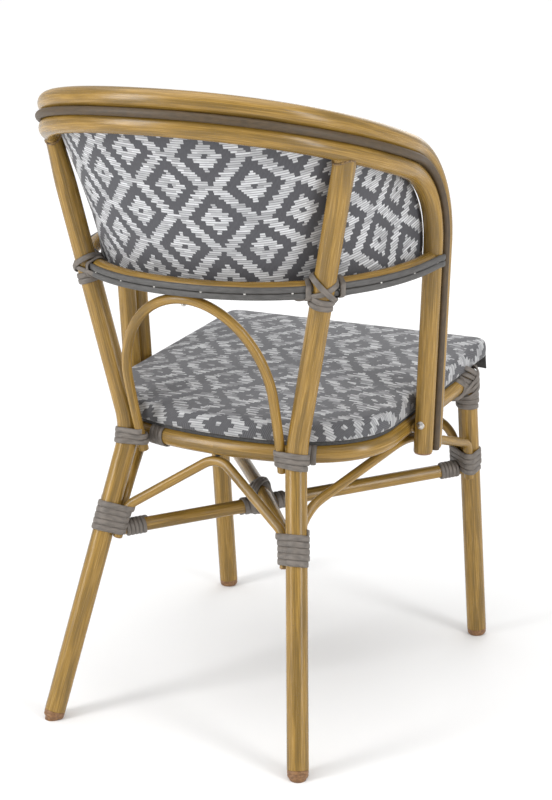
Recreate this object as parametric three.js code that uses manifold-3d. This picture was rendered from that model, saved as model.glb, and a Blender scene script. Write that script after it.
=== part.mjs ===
// Bistro armchair of bamboo-look tube, with a woven seat pad and back panel.
// Millimetres. X points to the sitter's left, Y to the back, Z up from the floor.
import * as THREE from "three";
import { mergeVertices } from "three/addons/utils/BufferGeometryUtils.js";
import Module from "manifold-3d";

const wasm = await Module();
wasm.setup();

// Clearances
const touchGap = 0.3;
const softGap = 0.6;

// Tube sizes
const legRadius = 14;
const railRadius = 12.7;
const ringRadius = 12.5;
const lowerRailRadius = 8.5;
const hoopRadius = 6.5;
const archRadius = 6.5;
const stretcherRadius = 9.5;
const railStrandRadius = 5.4;
const backStrandWidth = 8.1;
const backStrandHeight = 3.6;

// Seat: a tilted plane through the middle of the ring
const seatZ = 383.2;
const seatTiltAngle = 0.0729;
const ringHalfWidth = 197;
const ringFrontSplay = 3;
const ringBackY = 127.5;
const ringSideY = 16.7;
const ringFrontY = -254;
const ringPower = 2.34;
const ringCornerRadius = 26;
const boardOverhang = 6;
const boardThickness = 6;
const padOverhang = 11;
const padFrontOverhang = 34;
const padCornerRadius = 14;
const padSideHeight = 27;
const padCrown = 7;
const padRollRadius = 9;
const apronThickness = 9.5;
const apronDrop = 22;
const apronEndInset = 4;

// Top rail: round back falling to the front, bend, and an arm down past the seat
const armRingClearance = 2.8;
const armDropBelowSeat = 28.2;
const armEndX = ringHalfWidth + ringRadius + armRingClearance + railRadius;
const armEndY = -39.7;
const armEndZ = seatZ - armDropBelowSeat;
const armLeanOutShare = 0.04;
const armLeanBackShare = 0.008;
const railOutset = 6.3;
const railHalfWidth = armEndX + railOutset;
const railBackY = 291.7;
const railSideY = 44.8;
const railPower = 2.315;
const railBackZ = 824.8;
const railFallShare = 0.288;
const railStraightLength = 9.7;
const railTaperShare = 0.127;
const railBendReach = 122;
const railTubeClearance = 4.2;
const railSpacing = 2 * railRadius + railTubeClearance;

// Rear legs: splayed foot, bend at the seat, upright that leans out to the top rail
const rearBendPlaceShare = 0.62944;
const rearBendSetForward = 11;
const rearBendRise = 0.8;
const rearBendX = ringHalfWidth * rearBendPlaceShare;
const rearBendY = ringBackY + ringRadius + legRadius - rearBendSetForward;
const rearBendZ = seatZ + rearBendRise;
const rearBendRadius = 110;
const rearFootSplayX = 62.5;
const rearFootSplayY = 119;
const rearTopPlaceShare = 0.89365;
const rearTopSetForward = 117.7;
const rearTopDrop = 60.8;
const rearTopX = railHalfWidth * rearTopPlaceShare;
const rearTopY = railBackY - rearTopSetForward;
const rearTopZ = railBackZ - rearTopDrop;
const uprightFlatLength = 75;
const uprightFlatDepth = 21.5;
const uprightFlatWidth = 33;

// Front legs: their line passes the ring's corner and ends above it
const frontLineHeight = 56.8;
const frontTopOutset = 8.6;
const frontTopSetBack = 41.7;
const frontTopX = ringHalfWidth + frontTopOutset;
const frontTopY = ringFrontY + frontTopSetBack;
const frontTopZ = seatZ + frontLineHeight;
const frontFootSplayX = 7.4;
const frontFootSplayY = 49.7;

// Glides
const glideHeight = 11;
const glideCollarInset = 0.4;
const glideCollarRadius = legRadius - glideCollarInset;
const glideCollarHeight = 4.5;
const glideFootInset = 3.1;
const glideFootRadius = glideCollarRadius - glideFootInset;
const glideBevel = 3;

// Lower back rail, let into the uprights, rising a little to the arms
const lowerRailBelowBend = 11.9;
const lowerRailBeforeUpright = 14.65;
const lowerRailPower = 2.22;
const lowerRailRiseShare = 0.058;

// Hoop under the lower back rail
const hoopFootInset = 20;
const hoopSpread = 2.8;
const hoopFootHalfWidth = rearBendX - hoopFootInset;
const hoopHalfWidth = hoopFootHalfWidth + hoopSpread;
const hoopFootSetForward = 0.5;
const hoopFootY = rearBendY - hoopFootSetForward;
const hoopFootDrop = 31.2;
const hoopFootZ = seatZ - hoopFootDrop;
const hoopTopSetForward = 3;
const hoopSpringShare = 0.457;

// Arches under the seat: how far their ends and corners lie below it
const archEndDrop = { rear: 137.6, front: 121.6 };
const backArchCornerDrop = 95.2;
const sideArchRearCornerDrop = 67.2;
const sideArchFrontCornerDrop = 68.2;
const frontArchCornerDrop = 59.2;
const archEndZ = { rear: seatZ - archEndDrop.rear, front: seatZ - archEndDrop.front };
const backArchCornerZ = seatZ - backArchCornerDrop;
const sideArchRearCornerZ = seatZ - sideArchRearCornerDrop;
const sideArchFrontCornerZ = seatZ - sideArchFrontCornerDrop;
const frontArchCornerZ = seatZ - frontArchCornerDrop;
const backArchCornerRadius = 35;
const backArchTopRadius = 32;
const sideArchRearRadius = 65;
const sideArchTopRadius = 80;
const sideArchFrontRadius = 17;
const frontArchCornerRadius = 40;
const frontArchTopRadius = 80;
const sideArchContactY = -35;
const archSpacerGap = 2.4;
const archSpacerRadius = 4;

// Diagonal stretchers, one over the other: how far their ends lie below the seat
const lowerBarDrop = { rear: 134.2, front: 115.2 };
const upperBarDrop = { rear: 121.2, front: 106.2 };
const lowerBarRearZ = seatZ - lowerBarDrop.rear;
const lowerBarFrontZ = seatZ - lowerBarDrop.front;
const upperBarRearZ = seatZ - upperBarDrop.rear;
const upperBarFrontZ = seatZ - upperBarDrop.front;
const upperBarBendRadius = 900;
const barEndSet = 2.7;

// Cord bindings
const cordWidth = 7.2;
const cordThickness = 2.6;
const cordTurnGap = 0.8;
const cordPitch = cordWidth + cordTurnGap;
const barCordWidth = 5.2;
const barCordTurnGap = 0.6;
const barCordPitch = barCordWidth + barCordTurnGap;
const legBindingTurns = 4;
const uprightBindingTurns = 2;
const seatBindingRearTurns = 3;
const seatBindingFrontTurns = 2;
const barBindingTurns = 4;
const crossTurns = 3;
const legBindingRise = 3.4;
const seatBindingRearDrop = 24.7;
const seatBindingFrontDrop = 25.2;
const uprightBindingClearance = 0.6;
const legBindingRearZ = archEndZ.rear + legBindingRise;
const legBindingFrontZ = archEndZ.front + legBindingRise;
const seatBindingRearZ = seatZ - seatBindingRearDrop;
const seatBindingFrontZ = seatZ - seatBindingFrontDrop;

// Arm fixings
const armBoltRise = 38.5;
const armBoltZ = armEndZ + armBoltRise;
const armBoltHeadRadius = 6.2;
const armBoltHeadHeight = 3.6;
const armSpacerRadius = 6;
const armPlugHeight = 3;
const hoopScrewRadius = 3.2;

// Back panel
const panelThickness = 8;
const panelBottomDrop = 15;
const panelTopDrop = 6.5;
const panelClearance = 1.6;
const panelSideShare = 0.774;

// Facets
const turnSteps = 14;
const barTurnSteps = 10;
const tubeSides = 12;
const thinTubeSides = 8;

const finishes = {
  bamboo: { color: 0x98793f, roughness: 0.42, metalness: 0.1 },
  brownStrand: { color: 0x5f4e3c, roughness: 0.5, metalness: 0 },
  greyCord: { color: 0x7c756d, roughness: 0.65, metalness: 0 },
  weave: { color: 0x83838a, roughness: 0.85, metalness: 0 },
  lining: { color: 0x3c3c40, roughness: 0.8, metalness: 0 },
  glide: { color: 0x7d5442, roughness: 0.55, metalness: 0 },
  steel: { color: 0xb9b7b2, roughness: 0.3, metalness: 0.9 },
  blackRubber: { color: 0x26262a, roughness: 0.7, metalness: 0 },
};

const chair = new THREE.Group();
const seat = new THREE.Group();
seat.position.z = seatZ;
seat.rotation.x = -seatTiltAngle;
chair.add(seat);

function addPiece(name, geometry, finish, parent = chair) {
  const mesh = new THREE.Mesh(geometry, new THREE.MeshStandardMaterial(finishes[finish]));
  mesh.name = name;
  parent.add(mesh);
}

const vector = (x, y, z) => new THREE.Vector3(x, y, z);
const mirrored = (point) => vector(-point.x, point.y, point.z);
const sum = (point, direction, length) => point.clone().addScaledVector(direction, length);

// Closed meshes
function plain(geometry) {
  const copy = geometry.clone();
  copy.deleteAttribute("normal");
  copy.deleteAttribute("uv");
  const merged = mergeVertices(copy, touchGap / 1000);
  const position = merged.attributes.position;
  const index = merged.index.array;
  const corners = [vector(), vector(), vector()];
  const kept = [];
  let volume = 0;
  for (let i = 0; i < index.length; i += 3) {
    const [a, b, c] = [index[i], index[i + 1], index[i + 2]];
    if (a === b || b === c || a === c) continue;
    corners.forEach((corner, k) => corner.fromBufferAttribute(position, index[i + k]));
    volume += corners[0].dot(corners[1].clone().cross(corners[2]));
    kept.push(a, b, c);
  }
  if (volume < 0) {
    for (let i = 0; i < kept.length; i += 3) [kept[i], kept[i + 1]] = [kept[i + 1], kept[i]];
  }
  merged.setIndex(kept);
  return merged;
}

function solidOf(geometry) {
  const mesh = plain(geometry);
  return new wasm.Manifold(new wasm.Mesh({
    numProp: 3,
    vertProperties: new Float32Array(mesh.attributes.position.array),
    triVerts: new Uint32Array(mesh.index.array),
  }));
}

function geometryOf(solid) {
  const mesh = solid.getMesh();
  const geometry = new THREE.BufferGeometry();
  geometry.setAttribute("position", new THREE.BufferAttribute(mesh.vertProperties, 3));
  geometry.setIndex(new THREE.BufferAttribute(mesh.triVerts, 1));
  return geometry;
}

const cutBy = (geometry, ...cutters) => geometryOf(
  cutters.reduce((left, cutter) => left.subtract(solidOf(cutter)), solidOf(geometry)),
);

// A curve that steps from station to station, so a tube keeps the stations it is given.
class StationCurve extends THREE.Curve {
  constructor(points) {
    super();
    this.points = points;
  }

  getPointAt(share, target = vector()) {
    const place = share * (this.points.length - 1);
    const first = Math.min(Math.floor(place), this.points.length - 2);
    return target.lerpVectors(this.points[first], this.points[first + 1], place - first);
  }

  getPoint(share, target) {
    return this.getPointAt(share, target);
  }

  getSpacedPoints() {
    return this.points;
  }

  getTangentAt(share, target = vector()) {
    const last = this.points.length - 1;
    const here = Math.round(share * last);
    const before = Math.max(here - 1, 0);
    const after = Math.min(here + 1, last);
    const back = this.points[here].clone().sub(this.points[before]).normalize();
    const ahead = this.points[after].clone().sub(this.points[here]).normalize();
    return target.addVectors(back, ahead).normalize();
  }
}

function circle(radius, sides) {
  const corners = Array.from({ length: sides }, (_, i) => {
    const turn = (2 * Math.PI * i) / sides;
    return new THREE.Vector2(radius * Math.cos(turn), radius * Math.sin(turn));
  });
  return new THREE.Shape(corners);
}

function tube(points, radius, sides = tubeSides) {
  return plain(new THREE.ExtrudeGeometry(circle(radius, sides), {
    steps: points.length - 1,
    bevelEnabled: false,
    extrudePath: new StationCurve(points),
  }));
}

// A skin over sections that all have the same number of corners.
function loft(sections, closed = false) {
  const count = sections[0].length;
  const places = sections.flat().flatMap((corner) => corner.toArray());
  const faces = [];
  const rows = closed ? sections.length : sections.length - 1;
  for (let row = 0; row < rows; row += 1) {
    const next = (row + 1) % sections.length;
    for (let i = 0; i < count; i += 1) {
      const j = (i + 1) % count;
      faces.push(row * count + i, row * count + j, next * count + j);
      faces.push(row * count + i, next * count + j, next * count + i);
    }
  }
  if (!closed) {
    const end = (sections.length - 1) * count;
    for (let i = 1; i < count - 1; i += 1) {
      faces.push(0, i + 1, i);
      faces.push(end, end + i, end + i + 1);
    }
  }
  const geometry = new THREE.BufferGeometry();
  geometry.setAttribute("position", new THREE.Float32BufferAttribute(places, 3));
  geometry.setIndex(faces);
  return plain(geometry);
}

// A section carried along stations that say which way is out and which way is across.
const sectionsOf = (stations, outline) => stations.map(({ point, out, across }) => (
  outline.map(([a, o]) => sum(sum(point, across, a), out, o))
));
const sweep = (stations, outline, closed) => loft(sectionsOf(stations, outline), closed);

const cordOutline = (width, thickness) => [
  [-width / 2, 0],
  [width / 2, 0],
  [width / 2, thickness * 0.6],
  [0, thickness],
  [-width / 2, thickness * 0.6],
];

// Straight runs with an arc of its own radius at each inner corner.
function filleted(corners, radii, arcSteps) {
  const points = [corners[0].clone()];
  radii.forEach((radius, i) => {
    const corner = corners[i + 1];
    const back = corners[i].clone().sub(corner).normalize();
    const ahead = corners[i + 2].clone().sub(corner).normalize();
    const half = back.angleTo(ahead) / 2;
    const centre = sum(corner, back.clone().add(ahead).normalize(), radius / Math.sin(half));
    const start = sum(corner, back, radius / Math.tan(half)).sub(centre);
    const end = sum(corner, ahead, radius / Math.tan(half)).sub(centre);
    const axis = start.clone().cross(end).normalize();
    for (let k = 0; k <= arcSteps[i]; k += 1) {
      points.push(start.clone().applyAxisAngle(axis, (start.angleTo(end) * k) / arcSteps[i]).add(centre));
    }
  });
  points.push(corners.at(-1).clone());
  return points;
}

// Quarter of a rounded outline: x grows with the sine, y falls with the cosine, both to 2/power.
function roundPoint(angle, halfWidth, depth, power) {
  const rounded = (value) => Math.sign(value) * Math.abs(value) ** (2 / power);
  return [halfWidth * rounded(Math.sin(angle)), depth * rounded(Math.cos(angle))];
}

// Legs
const rearFoot = vector(rearBendX + rearFootSplayX, rearBendY + rearFootSplayY, 0);
const rearBend = vector(rearBendX, rearBendY, rearBendZ);
const rearTop = vector(rearTopX, rearTopY, rearTopZ);
const frontFoot = vector(frontTopX + frontFootSplayX, frontTopY - frontFootSplayY, 0);
const frontTop = vector(frontTopX, frontTopY, frontTopZ);
const atHeight = (low, high, z) => low.clone().lerp(high, (z - low.z) / (high.z - low.z));
const directionOf = (low, high) => high.clone().sub(low).normalize();

// Top rail: the middle line between its two tubes, left half, from 0 at the back to 3 at the arm's end
const railDepth = railBackY - railSideY;
const armUp = vector(armLeanOutShare, armLeanBackShare, 1).normalize();
const armEnd = vector(armEndX, armEndY, armEndZ);
const railBendStart = vector(
  railHalfWidth - railTaperShare * railStraightLength,
  railSideY - railStraightLength,
  railBackZ - railFallShare * (railDepth + railStraightLength),
);
const railForward = vector(-railTaperShare, -1, -railFallShare).normalize();
const railBendEnd = sum(armEnd, armUp, (railBendStart.z - railBendReach - armEndZ) / armUp.z);
const bendHandleShare = 0.5523;
const railBend = new THREE.CubicBezierCurve3(
  railBendStart,
  sum(railBendStart, railForward, bendHandleShare * railBendReach),
  sum(railBendEnd, armUp, bendHandleShare * railBendReach),
  railBendEnd,
);

function railPoint(place) {
  if (place <= 1) {
    const [x, y] = roundPoint((place * Math.PI) / 2, railHalfWidth, railDepth, railPower);
    return vector(x, railSideY + y, railBackZ - railFallShare * (railDepth - y));
  }
  if (place <= 2) return railBend.getPoint(place - 1);
  return railBendEnd.clone().lerp(armEnd, place - 2);
}

const placeStepShare = 0.004;

function railStation(place) {
  const point = railPoint(place);
  const before = place === 0 ? mirrored(railPoint(placeStepShare)) : railPoint(place - placeStepShare);
  const after = railPoint(Math.min(place + placeStepShare, 3));
  const along = after.sub(before).normalize();
  const out = place < 1 ? vector(-along.y, along.x, 0).normalize() : vector(1, 0, 0);
  out.addScaledVector(along, -out.dot(along)).normalize();
  return { point, along, out, up: along.clone().cross(out) };
}

const railPlaces = [0, 0.12, 0.24, 0.36, 0.47, 0.58, 0.69, 0.8, 0.9, 1, 1.2, 1.36, 1.52, 1.68, 1.84, 2, 2.45, 3];
const railHalf = railPlaces.map(railStation);

// Both halves of a rail that is given by its left half.
const bothHalves = (half) => [...half.slice(1).map(mirrored).reverse(), ...half];

const halfSpacing = railSpacing / 2;
const upperRailHalf = railHalf.map(({ point, up }) => sum(point, up, halfSpacing));
const lowerTubeHalf = railHalf.map(({ point, up }) => sum(point, up, -halfSpacing));
const grooveDepth = Math.sqrt((railRadius + railStrandRadius + touchGap) ** 2 - halfSpacing ** 2);
const railStrandHalf = railHalf.map(({ point, out }) => sum(point, out, grooveDepth));
addPiece("top_rail_upper", tube(bothHalves(upperRailHalf), railRadius), "bamboo");
addPiece("top_rail_strand", tube(bothHalves(railStrandHalf), railStrandRadius, thinTubeSides), "brownStrand");

const rearArmEnd = lowerTubeHalf.at(-1);
const rearArmTop = lowerTubeHalf.at(-3);
const rearArmAt = (z) => atHeight(rearArmEnd, rearArmTop, z);
const frontArmEnd = upperRailHalf.at(-1);

// Rear arm tube bored for its bolt, with the bolt's head behind it
const boltPlace = rearArmAt(armBoltZ);
const boltHoleRadius = 3.3;
const boltShankRadius = 2.9;
const boltShankLength = 18;

function alongY(geometry, place) {
  return geometry.clone().rotateX(-Math.PI / 2).translate(place.x, place.y, place.z);
}

// The hole is bored from the back of the tube, so it runs along Y
const boltHoleAt = (place) => new THREE.CylinderGeometry(boltHoleRadius, boltHoleRadius, 2 * boltShankLength, thinTubeSides)
  .translate(place.x, place.y + railRadius, place.z);
addPiece(
  "top_rail_lower",
  cutBy(tube(bothHalves(lowerTubeHalf), railRadius), boltHoleAt(boltPlace), boltHoleAt(mirrored(boltPlace))),
  "bamboo",
);

const boltProfile = [
  [0, -boltShankLength + touchGap],
  [boltShankRadius, -boltShankLength + touchGap],
  [boltShankRadius, touchGap],
  [armBoltHeadRadius, touchGap],
  [armBoltHeadRadius, touchGap + armBoltHeadHeight / 3],
  [armBoltHeadRadius * 0.7, touchGap + armBoltHeadHeight],
  [0, touchGap + armBoltHeadHeight],
].map(([r, y]) => new THREE.Vector2(r, y));

// Upright: the last stretch is pressed flat so that it seats under the rail
function flattened(geometry, low, high, outward) {
  const axis = directionOf(low, high);
  const out = outward.clone().addScaledVector(axis, -outward.dot(axis)).normalize();
  const side = axis.clone().cross(out);
  const position = geometry.attributes.position;
  const full = low.distanceTo(high);
  for (let i = 0; i < position.count; i += 1) {
    const place = vector().fromBufferAttribute(position, i).sub(low);
    const height = place.dot(axis);
    const share = THREE.MathUtils.smoothstep(height, full - uprightFlatLength, full);
    const a = place.dot(out) * THREE.MathUtils.lerp(1, uprightFlatDepth / (2 * legRadius), share);
    const b = place.dot(side) * THREE.MathUtils.lerp(1, uprightFlatWidth / (2 * legRadius), share);
    const moved = sum(sum(sum(low, axis, height), out, a), side, b);
    position.setXYZ(i, moved.x, moved.y, moved.z);
  }
  return geometry;
}

function nearestRail(point) {
  let best = railHalf[0];
  for (let place = 0; place < 1; place += placeStepShare) {
    const station = railStation(place);
    if (station.point.distanceTo(point) < best.point.distanceTo(point)) best = station;
  }
  return best;
}

const overRearTop = nearestRail(rearTop);
const rearRailAxis = sum(overRearTop.point, overRearTop.up, -halfSpacing);
const rearLegTop = rearRailAxis;
const rearLegStart = sum(rearFoot, directionOf(rearFoot, rearBend), glideHeight / directionOf(rearFoot, rearBend).z);
const rearLegPoints = (() => {
  const points = filleted([rearLegStart, rearBend, rearLegTop], [rearBendRadius], [5]);
  const axis = directionOf(rearBend, rearLegTop);
  const stepShares = [1, 0.66, 0.33];
  points.splice(-1, 0, ...stepShares.map((share) => sum(rearLegTop, axis, -uprightFlatLength * share)));
  return points;
})();
const saddleHalf = lowerTubeHalf.slice(4, 11);
const rearLeg = cutBy(
  flattened(tube(rearLegPoints, legRadius), rearBend, rearLegTop, overRearTop.out),
  tube(saddleHalf, railRadius + touchGap, 24),
);
const flipX = (geometry) => plain(geometry.clone().scale(-1, 1, 1));
addPiece("rear_leg_left", rearLeg, "bamboo");
addPiece("rear_leg_right", flipX(rearLeg), "bamboo");

// Seat outlines, in the plane of the seat
function seatOutline(grow, frontGrow, backSteps, cornerSteps, corner = ringCornerRadius + grow) {
  const half = [];
  for (let i = 0; i <= backSteps; i += 1) {
    const angle = (Math.PI / 2) * (i / backSteps);
    const [x, y] = roundPoint(angle, ringHalfWidth + grow, ringBackY - ringSideY + grow, ringPower);
    half.push(vector(x, ringSideY + y, 0));
  }
  const cornerX = ringHalfWidth + ringFrontSplay + grow - corner;
  const cornerY = ringFrontY - frontGrow + corner;
  for (let i = 0; i <= cornerSteps; i += 1) {
    const angle = (Math.PI / 2) * (i / cornerSteps);
    half.push(vector(cornerX + corner * Math.cos(angle), cornerY - corner * Math.sin(angle), 0));
  }
  return [...half, ...half.slice(1).map(mirrored).reverse()];
}

// The ring's half width at a place in front of its back curve
const ringSideX = (y) => ringHalfWidth + (ringFrontSplay * (ringSideY - y)) / (ringSideY - ringFrontY);

function closedStations(points) {
  return points.map((point, i) => {
    const before = points.at(i - 1);
    const after = points[(i + 1) % points.length];
    const back = point.clone().sub(before).normalize();
    const along = after.clone().sub(point).normalize().add(back).normalize();
    return { point, out: vector(-along.y, along.x, 0), across: vector(0, 0, 1) };
  });
}

const roundSection = (radius, sides) => circle(radius, sides).getPoints().slice(0, sides).map(({ x, y }) => [x, y]);
const ringOutline = seatOutline(0, 0, 10, 4);
const seatRing = sweep(closedStations(ringOutline), roundSection(ringRadius, tubeSides), true);
addPiece("seat_ring", seatRing, "bamboo", seat);
seat.updateMatrixWorld(true);
const onSeat = (x, y, height) => seat.localToWorld(vector(x, y, height));

// Seat board and pad
const boardLow = ringRadius + touchGap;
const boardShape = new THREE.Shape(seatOutline(boardOverhang, boardOverhang, 8, 3).map(({ x, y }) => new THREE.Vector2(x, y)));
addPiece(
  "seat_board",
  plain(new THREE.ExtrudeGeometry(boardShape, { depth: boardThickness, bevelEnabled: false }).translate(0, 0, boardLow)),
  "lining",
  seat,
);

const padLow = boardLow + boardThickness + touchGap;
const padOutline = seatOutline(padOverhang, padFrontOverhang, 10, 4, padCornerRadius);
const padCentre = vector(0, (ringBackY + ringFrontY) / 2, 0);

// Rows of the pad: how far in from its edge, as a share of the way to its middle, and how high
function padRows() {
  const rows = [[padRollRadius / 3, 0], [0, padRollRadius / 2], [0, padSideHeight - padRollRadius]];
  const roll = 2;
  for (let i = 1; i <= roll; i += 1) {
    const angle = (Math.PI / 2) * (i / roll);
    rows.push([padRollRadius * (1 - Math.cos(angle)), padSideHeight - padRollRadius * (1 - Math.sin(angle))]);
  }
  return rows;
}

function padBody() {
  const places = [];
  const count = padOutline.length;
  const addRow = (shrink, height) => padOutline.forEach((point) => {
    places.push(...sum(padCentre, point.clone().sub(padCentre), shrink).setZ(padLow + height).toArray());
  });
  const meanReach = (ringHalfWidth + padOverhang);
  padRows().forEach(([inset, height]) => addRow(1 - inset / meanReach, height));
  const crownShares = [0.82, 0.6, 0.32];
  crownShares.forEach((share) => addRow(share, padSideHeight + padCrown * (1 - share ** 2)));
  const rows = places.length / 3 / count;
  const low = places.length / 3;
  places.push(padCentre.x, padCentre.y, padLow);
  places.push(padCentre.x, padCentre.y, padLow + padSideHeight + padCrown);
  const faces = [];
  for (let i = 0; i < count; i += 1) {
    const j = (i + 1) % count;
    faces.push(low, i, j);
    faces.push(low + 1, (rows - 1) * count + j, (rows - 1) * count + i);
    for (let row = 0; row < rows - 1; row += 1) {
      faces.push(row * count + i, (row + 1) * count + i, (row + 1) * count + j);
      faces.push(row * count + i, (row + 1) * count + j, row * count + j);
    }
  }
  const geometry = new THREE.BufferGeometry();
  geometry.setAttribute("position", new THREE.Float32BufferAttribute(places, 3));
  geometry.setIndex(faces);
  return plain(geometry);
}

// The cover's front apron hangs over the front of the ring
function apron() {
  const width = 2 * (ringHalfWidth + ringFrontSplay + padOverhang - apronEndInset);
  const front = ringFrontY - padFrontOverhang;
  const shape = new THREE.Shape();
  const low = padLow - apronDrop;
  const high = padLow + padRollRadius;
  const edge = apronThickness / 2;
  shape.moveTo(front, high);
  shape.lineTo(front, low + edge);
  shape.absarc(front + edge, low + edge, edge, Math.PI, 2 * Math.PI, false);
  shape.lineTo(front + apronThickness, high);
  const geometry = new THREE.ExtrudeGeometry(shape, { depth: width, bevelEnabled: false, curveSegments: 4 });
  geometry.rotateY(Math.PI / 2).rotateX(Math.PI / 2).translate(-width / 2, 0, 0);
  return plain(geometry);
}
addPiece("seat_pad", geometryOf(solidOf(padBody()).add(solidOf(apron()))), "weave", seat);

// Front legs end in a saddle under the ring's corner
const frontRingAt = onSeat(frontTopX, frontTopY, 0).z;
const frontLegTop = atHeight(frontFoot, frontTop, frontRingAt);
const frontLegStart = sum(frontFoot, directionOf(frontFoot, frontTop), glideHeight / directionOf(frontFoot, frontTop).z);
const ringCutter = sweep(
  closedStations(ringOutline),
  roundSection(ringRadius + touchGap, 2 * tubeSides),
  true,
).applyMatrix4(seat.matrixWorld);
const frontLeg = cutBy(tube([frontLegStart, frontLegTop], legRadius), ringCutter);
addPiece("front_leg_left", frontLeg, "bamboo");
addPiece("front_leg_right", flipX(frontLeg), "bamboo");

// Glides: turned on the leg's line, then cut flat on the floor
const glideProfile = [
  [0, 0],
  [glideCollarRadius, 0],
  [glideCollarRadius, -glideCollarHeight],
  [glideFootRadius + glideBevel, -glideCollarHeight],
  [glideFootRadius, -glideCollarHeight - 2 * glideBevel],
  [glideFootRadius, -2 * glideHeight],
  [0, -2 * glideHeight],
].map(([r, y]) => new THREE.Vector2(r, y));

function glide(start, low, high) {
  const turn = new THREE.Quaternion().setFromUnitVectors(vector(0, 1, 0), directionOf(low, high));
  const top = sum(start, directionOf(low, high), -touchGap);
  const body = new THREE.LatheGeometry(glideProfile, tubeSides).applyQuaternion(turn).translate(top.x, top.y, top.z);
  const floor = new THREE.BoxGeometry(4 * legRadius, 4 * legRadius, 4 * glideHeight)
    .translate(start.x, start.y, -2 * glideHeight);
  return cutBy(body, floor);
}
const rearGlide = glide(rearLegStart, rearFoot, rearBend);
const frontGlide = glide(frontLegStart, frontFoot, frontTop);
addPiece("glide_rear_left", rearGlide, "glide");
addPiece("glide_rear_right", flipX(rearGlide), "glide");
addPiece("glide_front_left", frontGlide, "glide");
addPiece("glide_front_right", flipX(frontGlide), "glide");

// Lower back rail, from arm to arm, let into the uprights
const lowerRailEnd = rearArmAt(railBendEnd.z - lowerRailBelowBend);
const uprightLine = [rearBend, rearLegTop];
const uprightLeanShare = (rearLegTop.y - rearBend.y) / (rearLegTop.z - rearBend.z);
const uprightFootY = rearBend.y - uprightLeanShare * rearBend.z;
const notchFallZ = lowerRailRiseShare * (uprightFootY - lowerRailBeforeUpright - lowerRailEnd.y);
const notchPlace = atHeight(...uprightLine, (lowerRailEnd.z - notchFallZ) / (1 + lowerRailRiseShare * uprightLeanShare));
const notchDepthShare = (1 - (notchPlace.x / lowerRailEnd.x) ** lowerRailPower) ** (1 / lowerRailPower);
const lowerRailDepth = (notchPlace.y - lowerRailBeforeUpright - lowerRailEnd.y) / notchDepthShare;
const lowerRailBackY = lowerRailEnd.y + lowerRailDepth;
const lowerRailZAt = (y) => lowerRailEnd.z - lowerRailRiseShare * (y - lowerRailEnd.y);

function lowerRailPoint(angle) {
  const [x, y] = roundPoint(angle, lowerRailEnd.x, lowerRailDepth, lowerRailPower);
  return vector(x, lowerRailEnd.y + y, lowerRailZAt(lowerRailEnd.y + y));
}

function lowerRailStation(angle) {
  const stepAngle = 0.002;
  const along = directionOf(lowerRailPoint(angle - stepAngle), lowerRailPoint(angle + stepAngle));
  const out = vector(-along.y, along.x, 0).normalize();
  return { point: lowerRailPoint(angle), out, across: along.clone().cross(out) };
}
const lowerRailSteps = 14;
const lowerRailHalf = Array.from({ length: lowerRailSteps + 1 }, (_, i) => {
  const share = i / lowerRailSteps;
  return lowerRailStation((Math.PI / 2) * share);
});
const bothSides = (points, radius) => [tube(points, radius, 24), tube(points.map(mirrored), radius, 24)];
const armCutters = bothSides([rearArmEnd, rearArmTop], railRadius + touchGap);
const uprightCutters = bothSides(uprightLine, legRadius + touchGap);
addPiece(
  "lower_back_rail",
  cutBy(tube(bothHalves(lowerRailHalf.map(({ point }) => point)), lowerRailRadius, 10), ...armCutters, ...uprightCutters),
  "bamboo",
);

// Two grey strands on the outer face of the lower rail, run over the arm to its groove
function backStrand(side) {
  const lift = (side * (backStrandWidth + touchGap)) / 2;
  const seatDepth = Math.sqrt((lowerRailRadius + touchGap) ** 2 - (Math.abs(lift) - backStrandWidth / 2) ** 2);
  const half = lowerRailHalf.slice(0, -2).map(({ point, out, across }) => (
    { point: sum(sum(point, out, seatDepth), across, lift), out, across }
  ));
  const overArmAngles = [0.35, 0.05, -0.25];
  overArmAngles.forEach((angle) => {
    const out = vector(Math.cos(angle), Math.sin(angle), 0);
    const armAxis = rearArmAt(lowerRailEnd.z + lift);
    half.push({ point: sum(armAxis, out, railRadius + 2 * touchGap), out, across: vector(0, 0, 1) });
  });
  const mirror = ({ point, out, across }) => (
    { point: mirrored(point), out: mirrored(out), across: mirrored(across) }
  );
  const stations = [...half.slice(1).map(mirror).reverse(), ...half];
  return sweep(stations, cordOutline(backStrandWidth, backStrandHeight));
}

// Each strand is tucked in at the uprights, which leaves a middle length and two side lengths
function addBackStrand(word, side) {
  const cut = uprightCutters.reduce((left, cutter) => left.subtract(solidOf(cutter)), solidOf(backStrand(side)));
  const lengths = cut.decompose().map((solid) => {
    const { min, max } = solid.boundingBox();
    return { solid, middleX: (min[0] + max[0]) / 2 };
  });
  lengths.sort((a, b) => a.middleX - b.middleX);
  const names = [`side_rail_strand_${word}_right`, `back_rail_strand_${word}`, `side_rail_strand_${word}_left`];
  names.forEach((name, i) => addPiece(name, geometryOf(lengths[i].solid), "greyCord"));
}
addBackStrand("upper", 1);
addBackStrand("lower", -1);

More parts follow.
